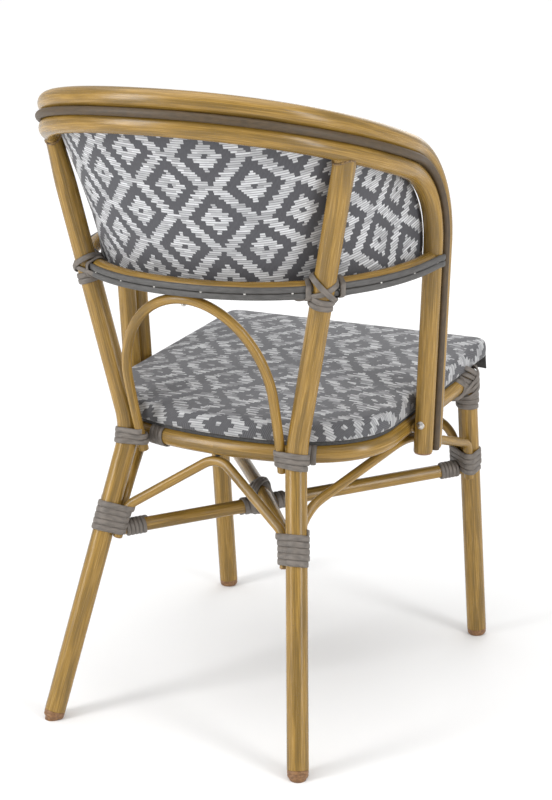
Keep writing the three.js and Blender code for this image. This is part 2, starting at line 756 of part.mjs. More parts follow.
// Back panel: a sheet inside both rails, from under the top rail to just below the lower rail
function panelColumn(place) {
  const { point, out, up } = railStation(place);
  const inset = railRadius + panelClearance + panelThickness / 2;
  const angleShare = place <= 1 ? place * panelSideShare
    : THREE.MathUtils.mapLinear(place, 1, 2, panelSideShare, 1);
  const rail = lowerRailStation((Math.PI / 2) * angleShare);
  const topDrop = panelTopDrop * THREE.MathUtils.clamp(2 - place, 0, 1);
  const top = sum(sum(point, up, -halfSpacing - topDrop), out, -inset);
  const low = sum(rail.point, rail.out, -inset).setZ(rail.point.z - panelBottomDrop);
  const knee = low.clone().setZ(rail.point.z + lowerRailRadius);
  const face = (side) => [low, knee, knee.clone().lerp(top, 0.5), top].map((place, i) => {
    const normal = rail.out.clone().lerp(out, Math.max(i - 1, 0) / 2).normalize();
    return sum(place, normal, (side * panelThickness) / 2);
  });
  return [...face(1), ...face(-1).reverse()];
}
const panelHalf = railPlaces.filter((place) => place <= 2).map(panelColumn);
const panelOther = panelHalf.slice(1).map((column) => column.map(mirrored)).reverse();
addPiece("back_panel", cutBy(loft([...panelOther, ...panelHalf]), ...uprightCutters), "weave");

// Hoop: two legs drawn in a little, and half an ellipse that touches the lower rail from below
const hoopTopZ = lowerRailZAt(lowerRailBackY) - lowerRailRadius - hoopRadius - touchGap;
const hoopSpringZ = THREE.MathUtils.lerp(hoopFootZ, hoopTopZ, hoopSpringShare);
const hoopLean = (lowerRailBackY - hoopTopSetForward - hoopFootY) / (hoopTopZ - hoopFootZ);
const hoopPlace = (x, z) => vector(x, hoopFootY + hoopLean * (z - hoopFootZ), z);
const hoopSteps = 9;
const hoopHalf = Array.from({ length: hoopSteps + 1 }, (_, i) => {
  const angle = (Math.PI / 2) * (i / hoopSteps);
  const rise = hoopTopZ - hoopSpringZ;
  return hoopPlace(hoopHalfWidth * Math.sin(angle), hoopSpringZ + rise * Math.cos(angle));
});
hoopHalf.push(hoopPlace(hoopFootHalfWidth, hoopFootZ));
addPiece("back_hoop", tube(bothHalves(hoopHalf), hoopRadius, 10), "bamboo");

// A place beside a leg, in the leg's own cross plane
function legFrame(low, high) {
  const along = directionOf(low, high);
  const left = vector(1, 0, 0).addScaledVector(along, -along.x).normalize();
  return { along, left, back: along.clone().cross(left) };
}
const besideReach = legRadius + archRadius + 2 * touchGap;

function beside(low, high, z, angle, reach = besideReach) {
  const { left, back } = legFrame(low, high);
  const offset = left.multiplyScalar(reach * Math.cos(angle)).addScaledVector(back, reach * Math.sin(angle));
  return atHeight(low, high, z).add(offset);
}

// Arches: ends beside the legs, corners, and a rounded top under the ring
const archTopHeight = -(ringRadius + archSpacerGap + archRadius);
const innerAngle = Math.PI;
const rearFrontAngle = -Math.PI / 2;
const frontRearAngle = 1.26;
const rearLine = [rearFoot, rearBend];
const frontLine = [frontFoot, frontTop];

// A rounded top lies lower than its corner, so the corner is raised by as much
function raisedTop(before, top, after, radius) {
  const back = before.clone().sub(top).normalize();
  const ahead = after.clone().sub(top).normalize();
  const half = back.angleTo(ahead) / 2;
  return top.clone().setZ(top.z + radius * (1 / Math.sin(half) - 1));
}

function arch(startLow, startCorner, top, endCorner, endLow, radii, steps) {
  const raised = raisedTop(startCorner, top, endCorner, radii[1]);
  return filleted([startLow, startCorner, raised, endCorner, endLow], radii, steps);
}

const backArchLow = beside(...rearLine, archEndZ.rear, innerAngle);
const backArchCorner = beside(...rearLine, backArchCornerZ, innerAngle);
const backArchPoints = arch(
  backArchLow,
  backArchCorner,
  onSeat(0, ringBackY, archTopHeight),
  mirrored(backArchCorner),
  mirrored(backArchLow),
  [backArchCornerRadius, backArchTopRadius, backArchCornerRadius],
  [3, 4, 3],
);
addPiece("arch_back", tube(backArchPoints, archRadius, thinTubeSides), "bamboo");

const frontArchLow = beside(...frontLine, archEndZ.front, innerAngle);
const frontArchCorner = beside(...frontLine, frontArchCornerZ, innerAngle);
const frontArchPoints = arch(
  frontArchLow,
  frontArchCorner,
  onSeat(0, ringFrontY, archTopHeight),
  mirrored(frontArchCorner),
  mirrored(frontArchLow),
  [frontArchCornerRadius, frontArchTopRadius, frontArchCornerRadius],
  [4, 3, 4],
);
addPiece("arch_front", tube(frontArchPoints, archRadius, thinTubeSides), "bamboo");

const sideArchPoints = arch(
  beside(...rearLine, archEndZ.rear, rearFrontAngle),
  beside(...rearLine, sideArchRearCornerZ, rearFrontAngle),
  onSeat(ringSideX(sideArchContactY), sideArchContactY, archTopHeight),
  beside(...frontLine, sideArchFrontCornerZ, frontRearAngle),
  beside(...frontLine, archEndZ.front, frontRearAngle),
  [sideArchRearRadius, sideArchTopRadius, sideArchFrontRadius],
  [5, 3, 4],
);
addPiece("arch_left", tube(sideArchPoints, archRadius, thinTubeSides), "bamboo");
addPiece("arch_right", tube(sideArchPoints.map(mirrored), archRadius, thinTubeSides), "bamboo");

// Spacers between the ring and the arches
const spacerLength = archSpacerGap - 2 * touchGap;

function archSpacer(x, y) {
  return new THREE.CylinderGeometry(archSpacerRadius, archSpacerRadius, spacerLength, thinTubeSides)
    .rotateX(Math.PI / 2)
    .translate(x, y, -(ringRadius + archSpacerGap / 2));
}
addPiece("arch_spacer_back", archSpacer(0, ringBackY), "blackRubber", seat);
addPiece("arch_spacer_front", archSpacer(0, ringFrontY), "blackRubber", seat);
addPiece("arch_spacer_left", archSpacer(ringSideX(sideArchContactY), sideArchContactY), "blackRubber", seat);
addPiece("arch_spacer_right", archSpacer(-ringSideX(sideArchContactY), sideArchContactY), "blackRubber", seat);

// Where a tube's path crosses a plane square to the binding's line, with its slanted section
function crossing({ path, radius }, frame, origin, height) {
  const above = path.map((point) => point.clone().sub(origin).dot(frame.along) - height);
  const i = above.findIndex((value, k) => k > 0 && value * above[k - 1] <= 0);
  if (i < 0) return [];
  const point = path[i - 1].clone().lerp(path[i], above[i - 1] / (above[i - 1] - above[i])).sub(origin);
  const along = path[i].clone().sub(path[i - 1]).normalize();
  const turn = Math.atan2(along.dot(frame.back), along.dot(frame.left));
  const stretch = 1 / Math.abs(along.dot(frame.along));
  return [{ u: point.dot(frame.left), v: point.dot(frame.back), radius, turn, stretch }];
}

// The outermost point of a bundle in one direction
function bundleEdge(bundle, angle, spread) {
  let edge = [0, 0];
  let most = -Infinity;
  bundle.forEach(({ u, v, radius, turn, stretch }) => {
    const short = (radius + touchGap) * spread;
    const long = short * stretch;
    const [c, s] = [Math.cos(angle - turn), Math.sin(angle - turn)];
    const reach = Math.hypot(long * c, short * s);
    const [a, b] = [(long * long * c) / reach, (short * short * s) / reach];
    const far = u * Math.cos(angle) + v * Math.sin(angle) + reach;
    if (far > most) {
      most = far;
      edge = [u + a * Math.cos(turn) - b * Math.sin(turn), v + a * Math.sin(turn) + b * Math.cos(turn)];
    }
  });
  return edge;
}

// The least distance between points of the cord that are at least half a turn apart
function leastGap(sections, steps) {
  let least = Infinity;
  sections.forEach((section, i) => sections.slice(i + steps / 2).forEach((other) => {
    section.forEach((a) => other.forEach((b) => {
      least = Math.min(least, a.distanceTo(b));
    }));
  }));
  return least;
}

// Binding: one flat cord wound round a bundle of tubes, from its low edge at the origin upwards
function binding(name, origin, frame, tubes, { turns, steps, width, pitch }) {
  const spread = 1 / Math.cos(Math.PI / steps);
  const stations = [];
  for (let i = 0; i <= turns * steps; i += 1) {
    const angle = (2 * Math.PI * i) / steps;
    const height = width / 2 + (pitch * i) / steps;
    const bundle = tubes.flatMap((tubeHere) => [-0.5, 0, 0.5].flatMap((share) => (
      crossing(tubeHere, frame, origin, height + share * width)
    )));
    const [u, v] = bundleEdge(bundle, angle, spread);
    const out = frame.left.clone().multiplyScalar(Math.cos(angle)).addScaledVector(frame.back, Math.sin(angle));
    const point = sum(sum(sum(origin, frame.along, height), frame.left, u), frame.back, v);
    stations.push({ point, out, across: frame.along });
  }
  const sections = sectionsOf(stations, cordOutline(width, cordThickness));
  console.log(`${name}: least gap between turns ${leastGap(sections, steps).toFixed(2)} mm`);
  return loft(sections);
}

function addPair(name, geometry, finish) {
  addPiece(`${name}_left`, geometry, finish);
  addPiece(`${name}_right`, flipX(geometry), finish);
}

function addLegBinding(name, line, lowZ, tubes, turns) {
  const cord = { turns, steps: turnSteps, width: cordWidth, pitch: cordPitch };
  addPair(name, binding(name, atHeight(...line, lowZ), legFrame(...line), tubes, cord), "greyCord");
}
const rearLegTube = { path: rearLegPoints, radius: legRadius };
const frontLegTube = { path: [frontLegStart, frontTop], radius: legRadius };
const archTube = (path) => ({ path, radius: archRadius });
const sideArchBack = [...sideArchPoints].reverse();
const rearBundle = [rearLegTube, archTube(backArchPoints), archTube(sideArchPoints)];
const frontBundle = [frontLegTube, archTube(frontArchPoints), archTube(sideArchBack)];
addLegBinding("leg_binding_rear", rearLine, legBindingRearZ, rearBundle, legBindingTurns);
addLegBinding("leg_binding_front", frontLine, legBindingFrontZ, frontBundle, legBindingTurns);
addLegBinding("seat_binding_front", frontLine, seatBindingFrontZ, [frontLegTube], seatBindingFrontTurns);

// On the uprights the binding ends under the lower rail and its strands
const underRail = Math.max(lowerRailRadius, backStrandWidth + touchGap) + uprightBindingClearance;
const uprightBindingTopZ = lowerRailZAt(notchPlace.y) - underRail;
const uprightBindingZ = uprightBindingTopZ - uprightBindingTurns * cordPitch - cordWidth;
addLegBinding("upright_binding", uprightLine, uprightBindingZ, [rearLegTube], uprightBindingTurns);

// At the seat the rear legs are bound together with the hoop's legs, which stand nearly upright
const hoopTube = { path: [...hoopHalf].reverse(), radius: hoopRadius };
const seatBindingTopZ = seatBindingRearZ + seatBindingRearTurns * cordPitch + cordWidth;
const onRearLeg = (z) => {
  const high = rearLegPoints.findIndex((point) => point.z > z);
  return atHeight(rearLegPoints[high - 1], rearLegPoints[high], z);
};
const seatBindingLine = [onRearLeg(seatBindingRearZ), onRearLeg(seatBindingTopZ)];
addLegBinding(
  "seat_binding_rear",
  seatBindingLine,
  seatBindingRearZ,
  [rearLegTube, hoopTube],
  seatBindingRearTurns,
);

// Stretchers run between the bindings of opposite legs
const bundleDepth = besideReach * Math.SQRT1_2 + archRadius + cordThickness + stretcherRadius - barEndSet;

function stretcher(rearZ, frontZ, bendZ) {
  const rear = atHeight(...rearLine, rearZ);
  const front = mirrored(atHeight(...frontLine, frontZ));
  const along = directionOf(rear, front);
  const start = sum(rear, along, bundleDepth);
  const end = sum(front, along, -bundleDepth);
  const middle = rear.clone().lerp(front, rear.x / (rear.x - front.x));
  if (bendZ === undefined) return { points: [start, end], middle };
  return { points: filleted([start, middle.setZ(bendZ), end], [upperBarBendRadius], [4]), middle };
}
const lowerBar = stretcher(lowerBarRearZ, lowerBarFrontZ);
const upperBarZ = lowerBar.middle.z + 2 * stretcherRadius + 2 * touchGap;
const upperBar = stretcher(upperBarRearZ, upperBarFrontZ, upperBarZ + (upperBarZ - upperBarRearZ) / 8);
addPiece("stretcher_lower", tube(lowerBar.points, stretcherRadius), "bamboo");
addPiece("stretcher_upper", tube(upperBar.points.map(mirrored), stretcherRadius), "bamboo");

// Cord round each end of the stretchers, and round their crossing
const upperBarPoints = upperBar.points.map(mirrored);
const barCord = { turns: barBindingTurns, steps: barTurnSteps, width: barCordWidth, pitch: barCordPitch };

function addBarBinding(name, path) {
  const along = directionOf(path[0], path[1]);
  const left = vector(0, 0, 1).addScaledVector(along, -along.z).normalize();
  const frame = { along, left, back: along.clone().cross(left) };
  const origin = sum(path[0], along, barCordWidth / 2);
  addPiece(name, binding(name, origin, frame, [{ path, radius: stretcherRadius }], barCord), "greyCord");
}
addBarBinding("bar_binding_rear_left", lowerBar.points);
addBarBinding("bar_binding_front_right", [...lowerBar.points].reverse());
addBarBinding("bar_binding_rear_right", upperBarPoints);
addBarBinding("bar_binding_front_left", [...upperBarPoints].reverse());

const crossCord = { turns: crossTurns, steps: turnSteps, width: barCordWidth, pitch: barCordPitch };
const crossFrame = { along: vector(0, 1, 0), left: vector(1, 0, 0), back: vector(0, 0, 1) };
const crossOrigin = lowerBar.middle.clone().setZ((lowerBar.middle.z + upperBarZ) / 2);
crossOrigin.y -= (crossTurns * barCordPitch + barCordWidth) / 2;
const crossTubes = [lowerBar.points, [...upperBarPoints]].map((path) => (
  { path: path[0].y > path.at(-1).y ? [...path].reverse() : path, radius: stretcherRadius }
));
addPiece("cross_binding", binding("cross_binding", crossOrigin, crossFrame, crossTubes, crossCord), "greyCord");

// Arm spacers, bolts and end plugs
const ringSide = onSeat(ringSideX(boltPlace.y), boltPlace.y, 0);
const spacerFrom = ringSideX(boltPlace.y - armSpacerRadius) + ringRadius + touchGap;
const spacerTo = rearArmAt(ringSide.z).x - railRadius - touchGap;
const armSpacer = new THREE.CylinderGeometry(armSpacerRadius, armSpacerRadius, spacerTo - spacerFrom, thinTubeSides)
  .rotateZ(Math.PI / 2)
  .translate((spacerFrom + spacerTo) / 2, ringSide.y, ringSide.z);
addPair("arm_spacer", armSpacer, "bamboo");
const boltSeat = boltPlace.clone().setY(boltPlace.y + railRadius);
addPair("arm_bolt", new THREE.LatheGeometry(boltProfile, thinTubeSides).translate(...boltSeat.toArray()), "steel");

function armPlug(end) {
  const profile = [
    [0, -touchGap],
    [railRadius - touchGap, -touchGap],
    [railRadius - touchGap, -touchGap - armPlugHeight / 2],
    [railRadius * 0.75, -touchGap - armPlugHeight],
    [0, -touchGap - armPlugHeight],
  ].map(([r, y]) => new THREE.Vector2(r, y));
  const turn = new THREE.Quaternion().setFromUnitVectors(vector(0, 1, 0), armUp);
  return plain(new THREE.LatheGeometry(profile, tubeSides)).applyQuaternion(turn).translate(end.x, end.y, end.z);
}
addPair("arm_plug_rear", armPlug(rearArmEnd), "glide");
addPair("arm_plug_front", armPlug(frontArmEnd), "glide");

const hoopScrewLength = 3;
const hoopScrew = new THREE.CylinderGeometry(hoopScrewRadius, hoopScrewRadius, hoopScrewLength, thinTubeSides)
  .rotateX(Math.PI / 2)
  .translate(0, hoopHalf[0].y, hoopTopZ - hoopRadius - touchGap - hoopScrewLength / 2);
addPiece("hoop_screw", hoopScrew, "blackRubber");

// The chair stands with the middle of its footprint over the origin
chair.updateMatrixWorld(true);
const reach = new THREE.Box3().setFromObject(chair, true);
chair.position.set(0, -(reach.min.y + reach.max.y) / 2, 0);

export default chair;
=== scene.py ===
"""Bistro armchair of bamboo-look tube, bound with grey cord, with a woven seat pad and back panel.

Sizes in the classes are millimetres in the chair's frame, and meshes are in metres.
"""

import logging
import math
from collections.abc import Callable, Sequence
from dataclasses import dataclass, field
from enum import Enum
from functools import partial

import bmesh
import bpy
from mathutils import Matrix, Vector, noise


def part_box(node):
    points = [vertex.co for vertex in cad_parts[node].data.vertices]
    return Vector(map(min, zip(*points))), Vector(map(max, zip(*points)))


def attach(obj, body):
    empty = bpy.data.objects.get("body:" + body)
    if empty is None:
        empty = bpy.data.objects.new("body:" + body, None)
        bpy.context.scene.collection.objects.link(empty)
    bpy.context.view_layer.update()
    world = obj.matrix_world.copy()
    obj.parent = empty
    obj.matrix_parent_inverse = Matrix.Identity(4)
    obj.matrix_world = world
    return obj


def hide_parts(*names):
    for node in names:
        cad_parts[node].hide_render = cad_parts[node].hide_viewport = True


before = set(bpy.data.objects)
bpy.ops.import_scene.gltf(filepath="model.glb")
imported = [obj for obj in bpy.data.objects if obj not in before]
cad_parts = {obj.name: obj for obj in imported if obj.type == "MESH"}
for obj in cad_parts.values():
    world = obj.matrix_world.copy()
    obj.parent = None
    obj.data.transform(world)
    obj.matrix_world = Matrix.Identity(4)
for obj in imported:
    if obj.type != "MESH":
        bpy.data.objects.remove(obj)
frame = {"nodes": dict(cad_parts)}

log = logging.getLogger("chair")

MM = 0.001
FOOTPRINT_SHIFT = -10.31
LEFTWARD = Vector((1, 0, 0))
BACKWARD = Vector((0, 1, 0))
UPWARD = Vector((0, 0, 1))

Pair = tuple[float, float]
Triple = tuple[float, float, float]
Colour = Triple
Loop = list[Vector]
Outline = Sequence[Pair]
Cloth = Callable[[int, int], Pair]


class Side(Enum):
    """The sitter's left or right, as the sign of X."""

    LEFT = 1
    RIGHT = -1

    @property
    def word(self) -> str:
        """The side's word in names."""
        return self.name.lower()

    def place(self, point: Vector) -> Vector:
        """Returns the point on this side, from its place on the left."""
        return Vector((point.x * self.value, point.y, point.z))


def kept(value: float) -> float:
    """Returns the value, kept between 0 and 1."""
    return min(max(value, 0.0), 1.0)


def eased(value: float) -> float:
    """Returns a smooth step from 0 to 1, kept between them."""
    share = kept(value)
    return share * share * (3 - 2 * share)


def point_field(*numbers: float) -> Vector:
    """Returns a dataclass field whose value is a point or a direction of its own."""
    return field(default_factory=lambda: Vector(numbers))


# Shaders


@dataclass(frozen=True)
class Finish:
    """A material and the slot of the record that it belongs to."""

    material: bpy.types.Material
    slot: str


class Sock:
    """A shader value that Python's own operators work on."""

    def __init__(self, shader: "Shader", link: object) -> None:
        """Wraps a socket or a number."""
        self.shader = shader
        self.link = link

    def _math(self, operation: str, *others: object) -> "Sock":
        """Returns a Math node's result on this value and the others."""
        return self.shader.add("ShaderNodeMath", {"operation": operation}, [self, *others])

    def __add__(self, other: object) -> "Sock":
        """Returns the sum."""
        return self._math("ADD", other)

    __radd__ = __add__

    def __sub__(self, other: object) -> "Sock":
        """Returns the difference."""
        return self._math("SUBTRACT", other)

    def __rsub__(self, other: object) -> "Sock":
        """Returns the difference the other way round."""
        return self.shader.add("ShaderNodeMath", {"operation": "SUBTRACT"}, [other, self])

    def __mul__(self, other: object) -> "Sock":
        """Returns the product."""
        return self._math("MULTIPLY", other)

    __rmul__ = __mul__

    def __truediv__(self, other: object) -> "Sock":
        """Returns the quotient."""
        return self._math("DIVIDE", other)

    def __lt__(self, other: object) -> "Sock":
        """Returns 1 where this value is the smaller."""
        return self._math("LESS_THAN", other)

    def __mod__(self, other: object) -> "Sock":
        """Returns the remainder, never negative."""
        return self._math("FLOORED_MODULO", other)

    def __abs__(self) -> "Sock":
        """Returns the value without its sign."""
        return self._math("ABSOLUTE")

    def __floor__(self) -> "Sock":
        """Returns the whole number below."""
        return self._math("FLOOR")

    def cap(self, most: float) -> "Sock":
        """Returns the value, or most where it is larger."""
        return self._math("MINIMUM", most)

    def lift(self, least: object) -> "Sock":
        """Returns the value, or least where it is smaller."""
        return self._math("MAXIMUM", least)

    def ramp(self, low: float, high: float) -> "Sock":
        """Returns 0 below low, 1 above high and a smooth step between."""
        settings = {"interpolation_type": "SMOOTHSTEP"}
        return self.shader.add("ShaderNodeMapRange", settings, {0: self, 1: low, 2: high})


class Shader:
    """A material and its nodes."""

    def __init__(self, name: str) -> None:
        """Makes an empty material with a Principled shader.

        Args:
            name: The material's name.
        """
        self.material = bpy.data.materials.new(name)
        self.material.use_nodes = True
        self.tree = self.material.node_tree
        self.surface = next(n for n in self.tree.nodes if n.type == "BSDF_PRINCIPLED")

    def add(self, kind: str, settings: dict, values: Sequence | dict, output: int | str = 0) -> Sock:
        """Adds a node.

        Args:
            kind: The node's type.
            settings: Its own settings.
            values: What goes into its sockets, in order or by index or name.
            output: The socket to return.

        Returns:
            The node's output.
        """
        node = self.tree.nodes.new(kind)
        for key, value in settings.items():
            setattr(node, key, value)
        pairs = values.items() if isinstance(values, dict) else enumerate(values)
        for key, value in pairs:
            self.feed(node.inputs[key], value)
        return Sock(self, node.outputs[output])

    def feed(self, socket: object, value: object) -> None:
        """Links a value to a socket, or sets the socket to it.

        Args:
            socket: The socket of a node.
            value: The value or the output to link.
        """
        if isinstance(value, Sock):
            self.tree.links.new(value.link, socket)
        else:
            socket.default_value = value

    def uv(self) -> tuple[Sock, Sock]:
        """Reads the piece's own UV map.

        Returns:
            Its two coordinates in millimetres.
        """
        split = self.add("ShaderNodeSeparateXYZ", {}, [self.add("ShaderNodeUVMap", {}, [])])
        other = Sock(self, split.link.node.outputs[1])
        return split * (1 / MM), other * (1 / MM)

    def vector(self, x: object, y: object, z: object = 0.0) -> Sock:
        """Returns a vector of three values."""
        return self.add("ShaderNodeCombineXYZ", {}, [x, y, z])

    def noise(self, vector: Sock, detail: float = 2.0, roughness: float = 0.5) -> Sock:
        """Returns smooth noise of scale 1 at a vector."""
        values = {"Vector": vector, "Scale": 1.0, "Detail": detail, "Roughness": roughness}
        return self.add("ShaderNodeTexNoise", {"noise_dimensions": "3D"}, values)

    def streaks(
        self, place: tuple[Sock, Sock], scales: Pair, seed: float, detail: float, roughness: float = 0.5
    ) -> Sock:
        """Makes noise that is stretched over a surface."""
        vector = self.vector(place[0] * scales[0], place[1] * scales[1], seed)
        return self.noise(vector, detail, roughness)

    def dice(self, vector: Sock) -> Sock:
        """Returns a random number for each vector."""
        return self.add("ShaderNodeTexWhiteNoise", {"noise_dimensions": "3D"}, {"Vector": vector}, "Value")

    def blend(self, share: object, low: object, high: object) -> Sock:
        """Mixes two colours.

        Args:
            share: The second one's share.
            low: The first colour.
            high: The second colour.

        Returns:
            The colour between them.
        """
        first, second = ((*c, 1.0) if isinstance(c, tuple) else c for c in (low, high))
        settings = {"data_type": "RGBA", "blend_type": "MIX"}
        return self.add("ShaderNodeMix", settings, {0: share, 6: first, 7: second}, 2)

    def bump(self, height: Sock, distance: float, strength: float = 1.0) -> Sock:
        """Returns a normal raised by a height of 0 to 1 times a distance in metres."""
        values = {"Strength": strength, "Distance": distance, "Height": height}
        return self.add("ShaderNodeBump", {}, values)

    def finish(self, slot: str, **values: object) -> Finish:
        """Feeds the Principled shader.

        Args:
            slot: The record's slot.
            **values: What goes into the shader's sockets, by their names in small letters.

        Returns:
            The finish.
        """
        for key, value in values.items():
            name = key.replace("_", " ").title().replace("Ior", "IOR")
            self.feed(self.surface.inputs[name], value)
        return Finish(self.material, slot)


@dataclass(frozen=True)
class BambooPaint:
    """Tan paint on tube, wiped with darker streaks, specks and burnt patches.

    Scales are repeats per millimetre round the tube and along it.
    """

    light: Colour = (0.355, 0.21, 0.046)
    middle: Colour = (0.235, 0.137, 0.026)
    dark: Colour = (0.095, 0.06, 0.017)
    burnt: Colour = (0.025, 0.018, 0.012)
    grain_scales: Pair = (0.7, 0.02)
    band_scales: Pair = (0.1, 0.006)
    cloud_scales: Pair = (0.05, 0.02)
    fine_scales: Pair = (1.3, 0.45)
    scratch_scales: Pair = (1.3, 0.03)
    relief: float = 0.00018
    slot: str = "bamboo"

    def make(self) -> Finish:
        """Lays the paint on in the order in which it is wiped.

        Returns:
            The finish.
        """
        s = Shader("bamboo paint")
        place = s.uv()
        grain = s.streaks(place, self.grain_scales, 0.0, 4.0, 0.6)
        band = s.streaks(place, self.band_scales, 3.0, 2.0)
        cloud = s.streaks(place, self.cloud_scales, 7.0, 3.0)
        colour = s.blend(grain.ramp(0.35, 0.65), self.middle, self.light)
        colour = s.blend(band.ramp(0.46, 0.62) * 0.5, colour, self.dark)
        fine = s.streaks(place, self.fine_scales, 1.0, 3.0, 0.75)
        speck = fine.ramp(0.58, 0.66) * (cloud.ramp(0.42, 0.6) * 0.5 + band.ramp(0.48, 0.56) * 0.6)
        scratch = s.streaks(place, self.scratch_scales, 5.0, 3.0, 0.7).ramp(0.62, 0.7)
        marks = (speck * 0.8 + scratch * 0.5).cap(1.0)
        colour = s.blend(marks, colour, self.burnt)
        gloss = 0.2 + 0.12 * grain + 0.25 * marks
        relief = s.bump(grain * 0.6 + fine * 0.4, self.relief, 0.6)
        return s.finish(self.slot, base_color=colour, roughness=gloss, normal=relief, specular_ior_level=0.45)


@dataclass(frozen=True)
class StrandPlastic:
    """Extruded strand with fine ridges along its length."""

    name: str
    slot: str
    light: Colour
    dark: Colour
    ridge: float = 1.1
    ridge_along: float = 0.01
    cloud_scales: Pair = (0.25, 0.09)
    relief: float = 0.0003

    def make(self) -> Finish:
        """Draws the ridges over a faint cloud.

        Returns:
            The finish.
        """
        s = Shader(self.name)
        place = s.uv()
        ridge = s.streaks(place, (self.ridge, self.ridge_along), 0.0, 1.0)
        cloud = s.streaks(place, self.cloud_scales, 2.0, 3.0)
        colour = s.blend(cloud.ramp(0.3, 0.7) * 0.6 + ridge * 0.4, self.dark, self.light)
        relief = s.bump(ridge, self.relief, 0.7)
        return s.finish(self.slot, base_color=colour, roughness=0.42 + 0.2 * cloud, normal=relief)


@dataclass(frozen=True)
class WovenCloth:
    """Stepped diamonds woven with white floats on a dark ground.

    A step is the width of one stair of the pattern, and a row its height. Each row has two floats. The
    UV map starts at the middle of a diamond, and the next diamonds lie so many steps and rows away from it.
    """

    name: str
    reversed_tones: bool
    step: float
    row: float
    tight: float = 0.45
    ragged: float = 0.55
    twill: float = 0.0
    hatch_step: float = 1.5
    # How much more ragged and darker the floats are drawn where the pad lies flat.
    flat_top_breakup: float = 0.0
    ground: Colour = (0.062, 0.062, 0.07)
    thread: Colour = (0.76, 0.77, 0.79)
    gap: Colour = (0.11, 0.11, 0.117)
    steps_apart: float = 9.0
    rows_apart: float = 7.0
    reach: float = 3.5
    eye_steps: float = 0.6
    eye_rows: float = 0.5
    band_start: float = 4.5
    band_slope: float = 0.96
    band_half: float = 1.5
    relief: float = 0.0005
    slot: str = "weave"

    def make(self) -> Finish:
        """Weaves the pattern from its places in steps and rows.

        Returns:
            The finish.
        """
        s = Shader(self.name)
        across, up = s.uv()
        row_place = up / self.row + 0.5
        pick = row_place * 2.0
        number = math.floor(pick)
        k = math.floor(row_place)
        wander = s.dice(s.vector(number, math.floor(across / (6 * self.step)), 4.0)) - 0.5
        # Where the pad lies flat (the lies_flat attribute), the floats are drawn more ragged and random
        # floats darker.
        flat_top_breakup = s.add("ShaderNodeAttribute", {"attribute_name": "lies_flat"}, [], "Fac") * self.flat_top_breakup
        x = across / self.step + wander * (self.ragged + flat_top_breakup)
        a = abs((x + self.steps_apart) % (2 * self.steps_apart) - self.steps_apart)
        b = abs((k + self.rows_apart) % (2 * self.rows_apart) - self.rows_apart)
        white = self._diamond(a, b).lift(self._diamond(self.steps_apart - a, self.rows_apart - b))
        white = white.lift(abs(a - (self.band_start + self.band_slope * (self.reach - b))) < self.band_half)
        if self.reversed_tones:
            white = 1.0 - white
        edge = abs(pick % 1.0 - 0.5) * 2.0
        tone = s.dice(s.vector(math.floor(x / 4.0 + number * 0.37), number, 1.0))
        fibre = s.noise(s.vector(across * 0.1, up * 4.5, number), 2.0, 0.7).ramp(0.3, 0.62)
        bright = s.dice(s.vector(math.floor(x / 3.0 + number * 0.61), number, 7.0)).ramp(0.25, 0.8)
        shine = (0.38 + 0.62 * tone) * (0.6 + 0.4 * fibre) * (1.0 - edge.ramp(self.tight, 1.05) * 0.95)
        # Random floats on the pad's flat top are darkened.
        shine = shine * (1.0 - flat_top_breakup * (1.0 - bright))
        thread = s.blend(shine.cap(1.0), self.gap, self.thread)
        lean = (across - up * self.twill) / self.hatch_step
        hatch = abs(lean % 1.0 - 0.5) * 1.2 + 0.4 * s.noise(s.vector(lean * 0.8, up * 0.15, 2.0), 2.0)
        dark, pale = tuple(0.66 * c for c in self.ground), tuple(1.4 * c for c in self.ground)
        colour = s.blend(white, s.blend(hatch.ramp(0.15, 0.8), dark, pale), thread)
        relief = s.bump(white * (0.45 + 0.55 * shine) + hatch * 0.12, self.relief, 0.6)
        return s.finish(
            self.slot, base_color=colour, roughness=0.75 - 0.2 * white, normal=relief, sheen_weight=0.1
        )

    def _diamond(self, a: Sock, b: Sock) -> Sock:
        """Finds the stepped diamond with its open eye.

        Args:
            a: The steps from its middle.
            b: The rows from its middle.

        Returns:
            1 inside it, and 0 elsewhere.
        """
        body = (a < self.reach - b) * (b < self.reach)
        eye = (a < self.eye_steps) * (b < self.eye_rows)
        return (body - eye).lift(0.0)


@dataclass(frozen=True)
class Plain:
    """A moulded, coated or bare surface with faint mottling and wear."""

    name: str
    slot: str
    light: Colour
    dark: Colour
    roughness: float = 0.5
    metallic: float = 0.0
    grain: float = 300.0
    relief: float = 0.0001

    def make(self) -> Finish:
        """Mottles the surface by its place.

        Returns:
            The finish.
        """
        s = Shader(self.name)
        place = s.add("ShaderNodeTexCoord", {}, [], "Object")
        scaled = s.add("ShaderNodeMapping", {}, {"Vector": place, "Scale": (self.grain,) * 3})
        cloud = s.noise(scaled, 4.0, 0.6)
        colour = s.blend(cloud.ramp(0.3, 0.7), self.dark, self.light)
        relief = s.bump(cloud, self.relief, 0.5)
        rough = self.roughness + 0.15 * (cloud - 0.5)
        return s.finish(self.slot, base_color=colour, roughness=rough, normal=relief, metallic=self.metallic)


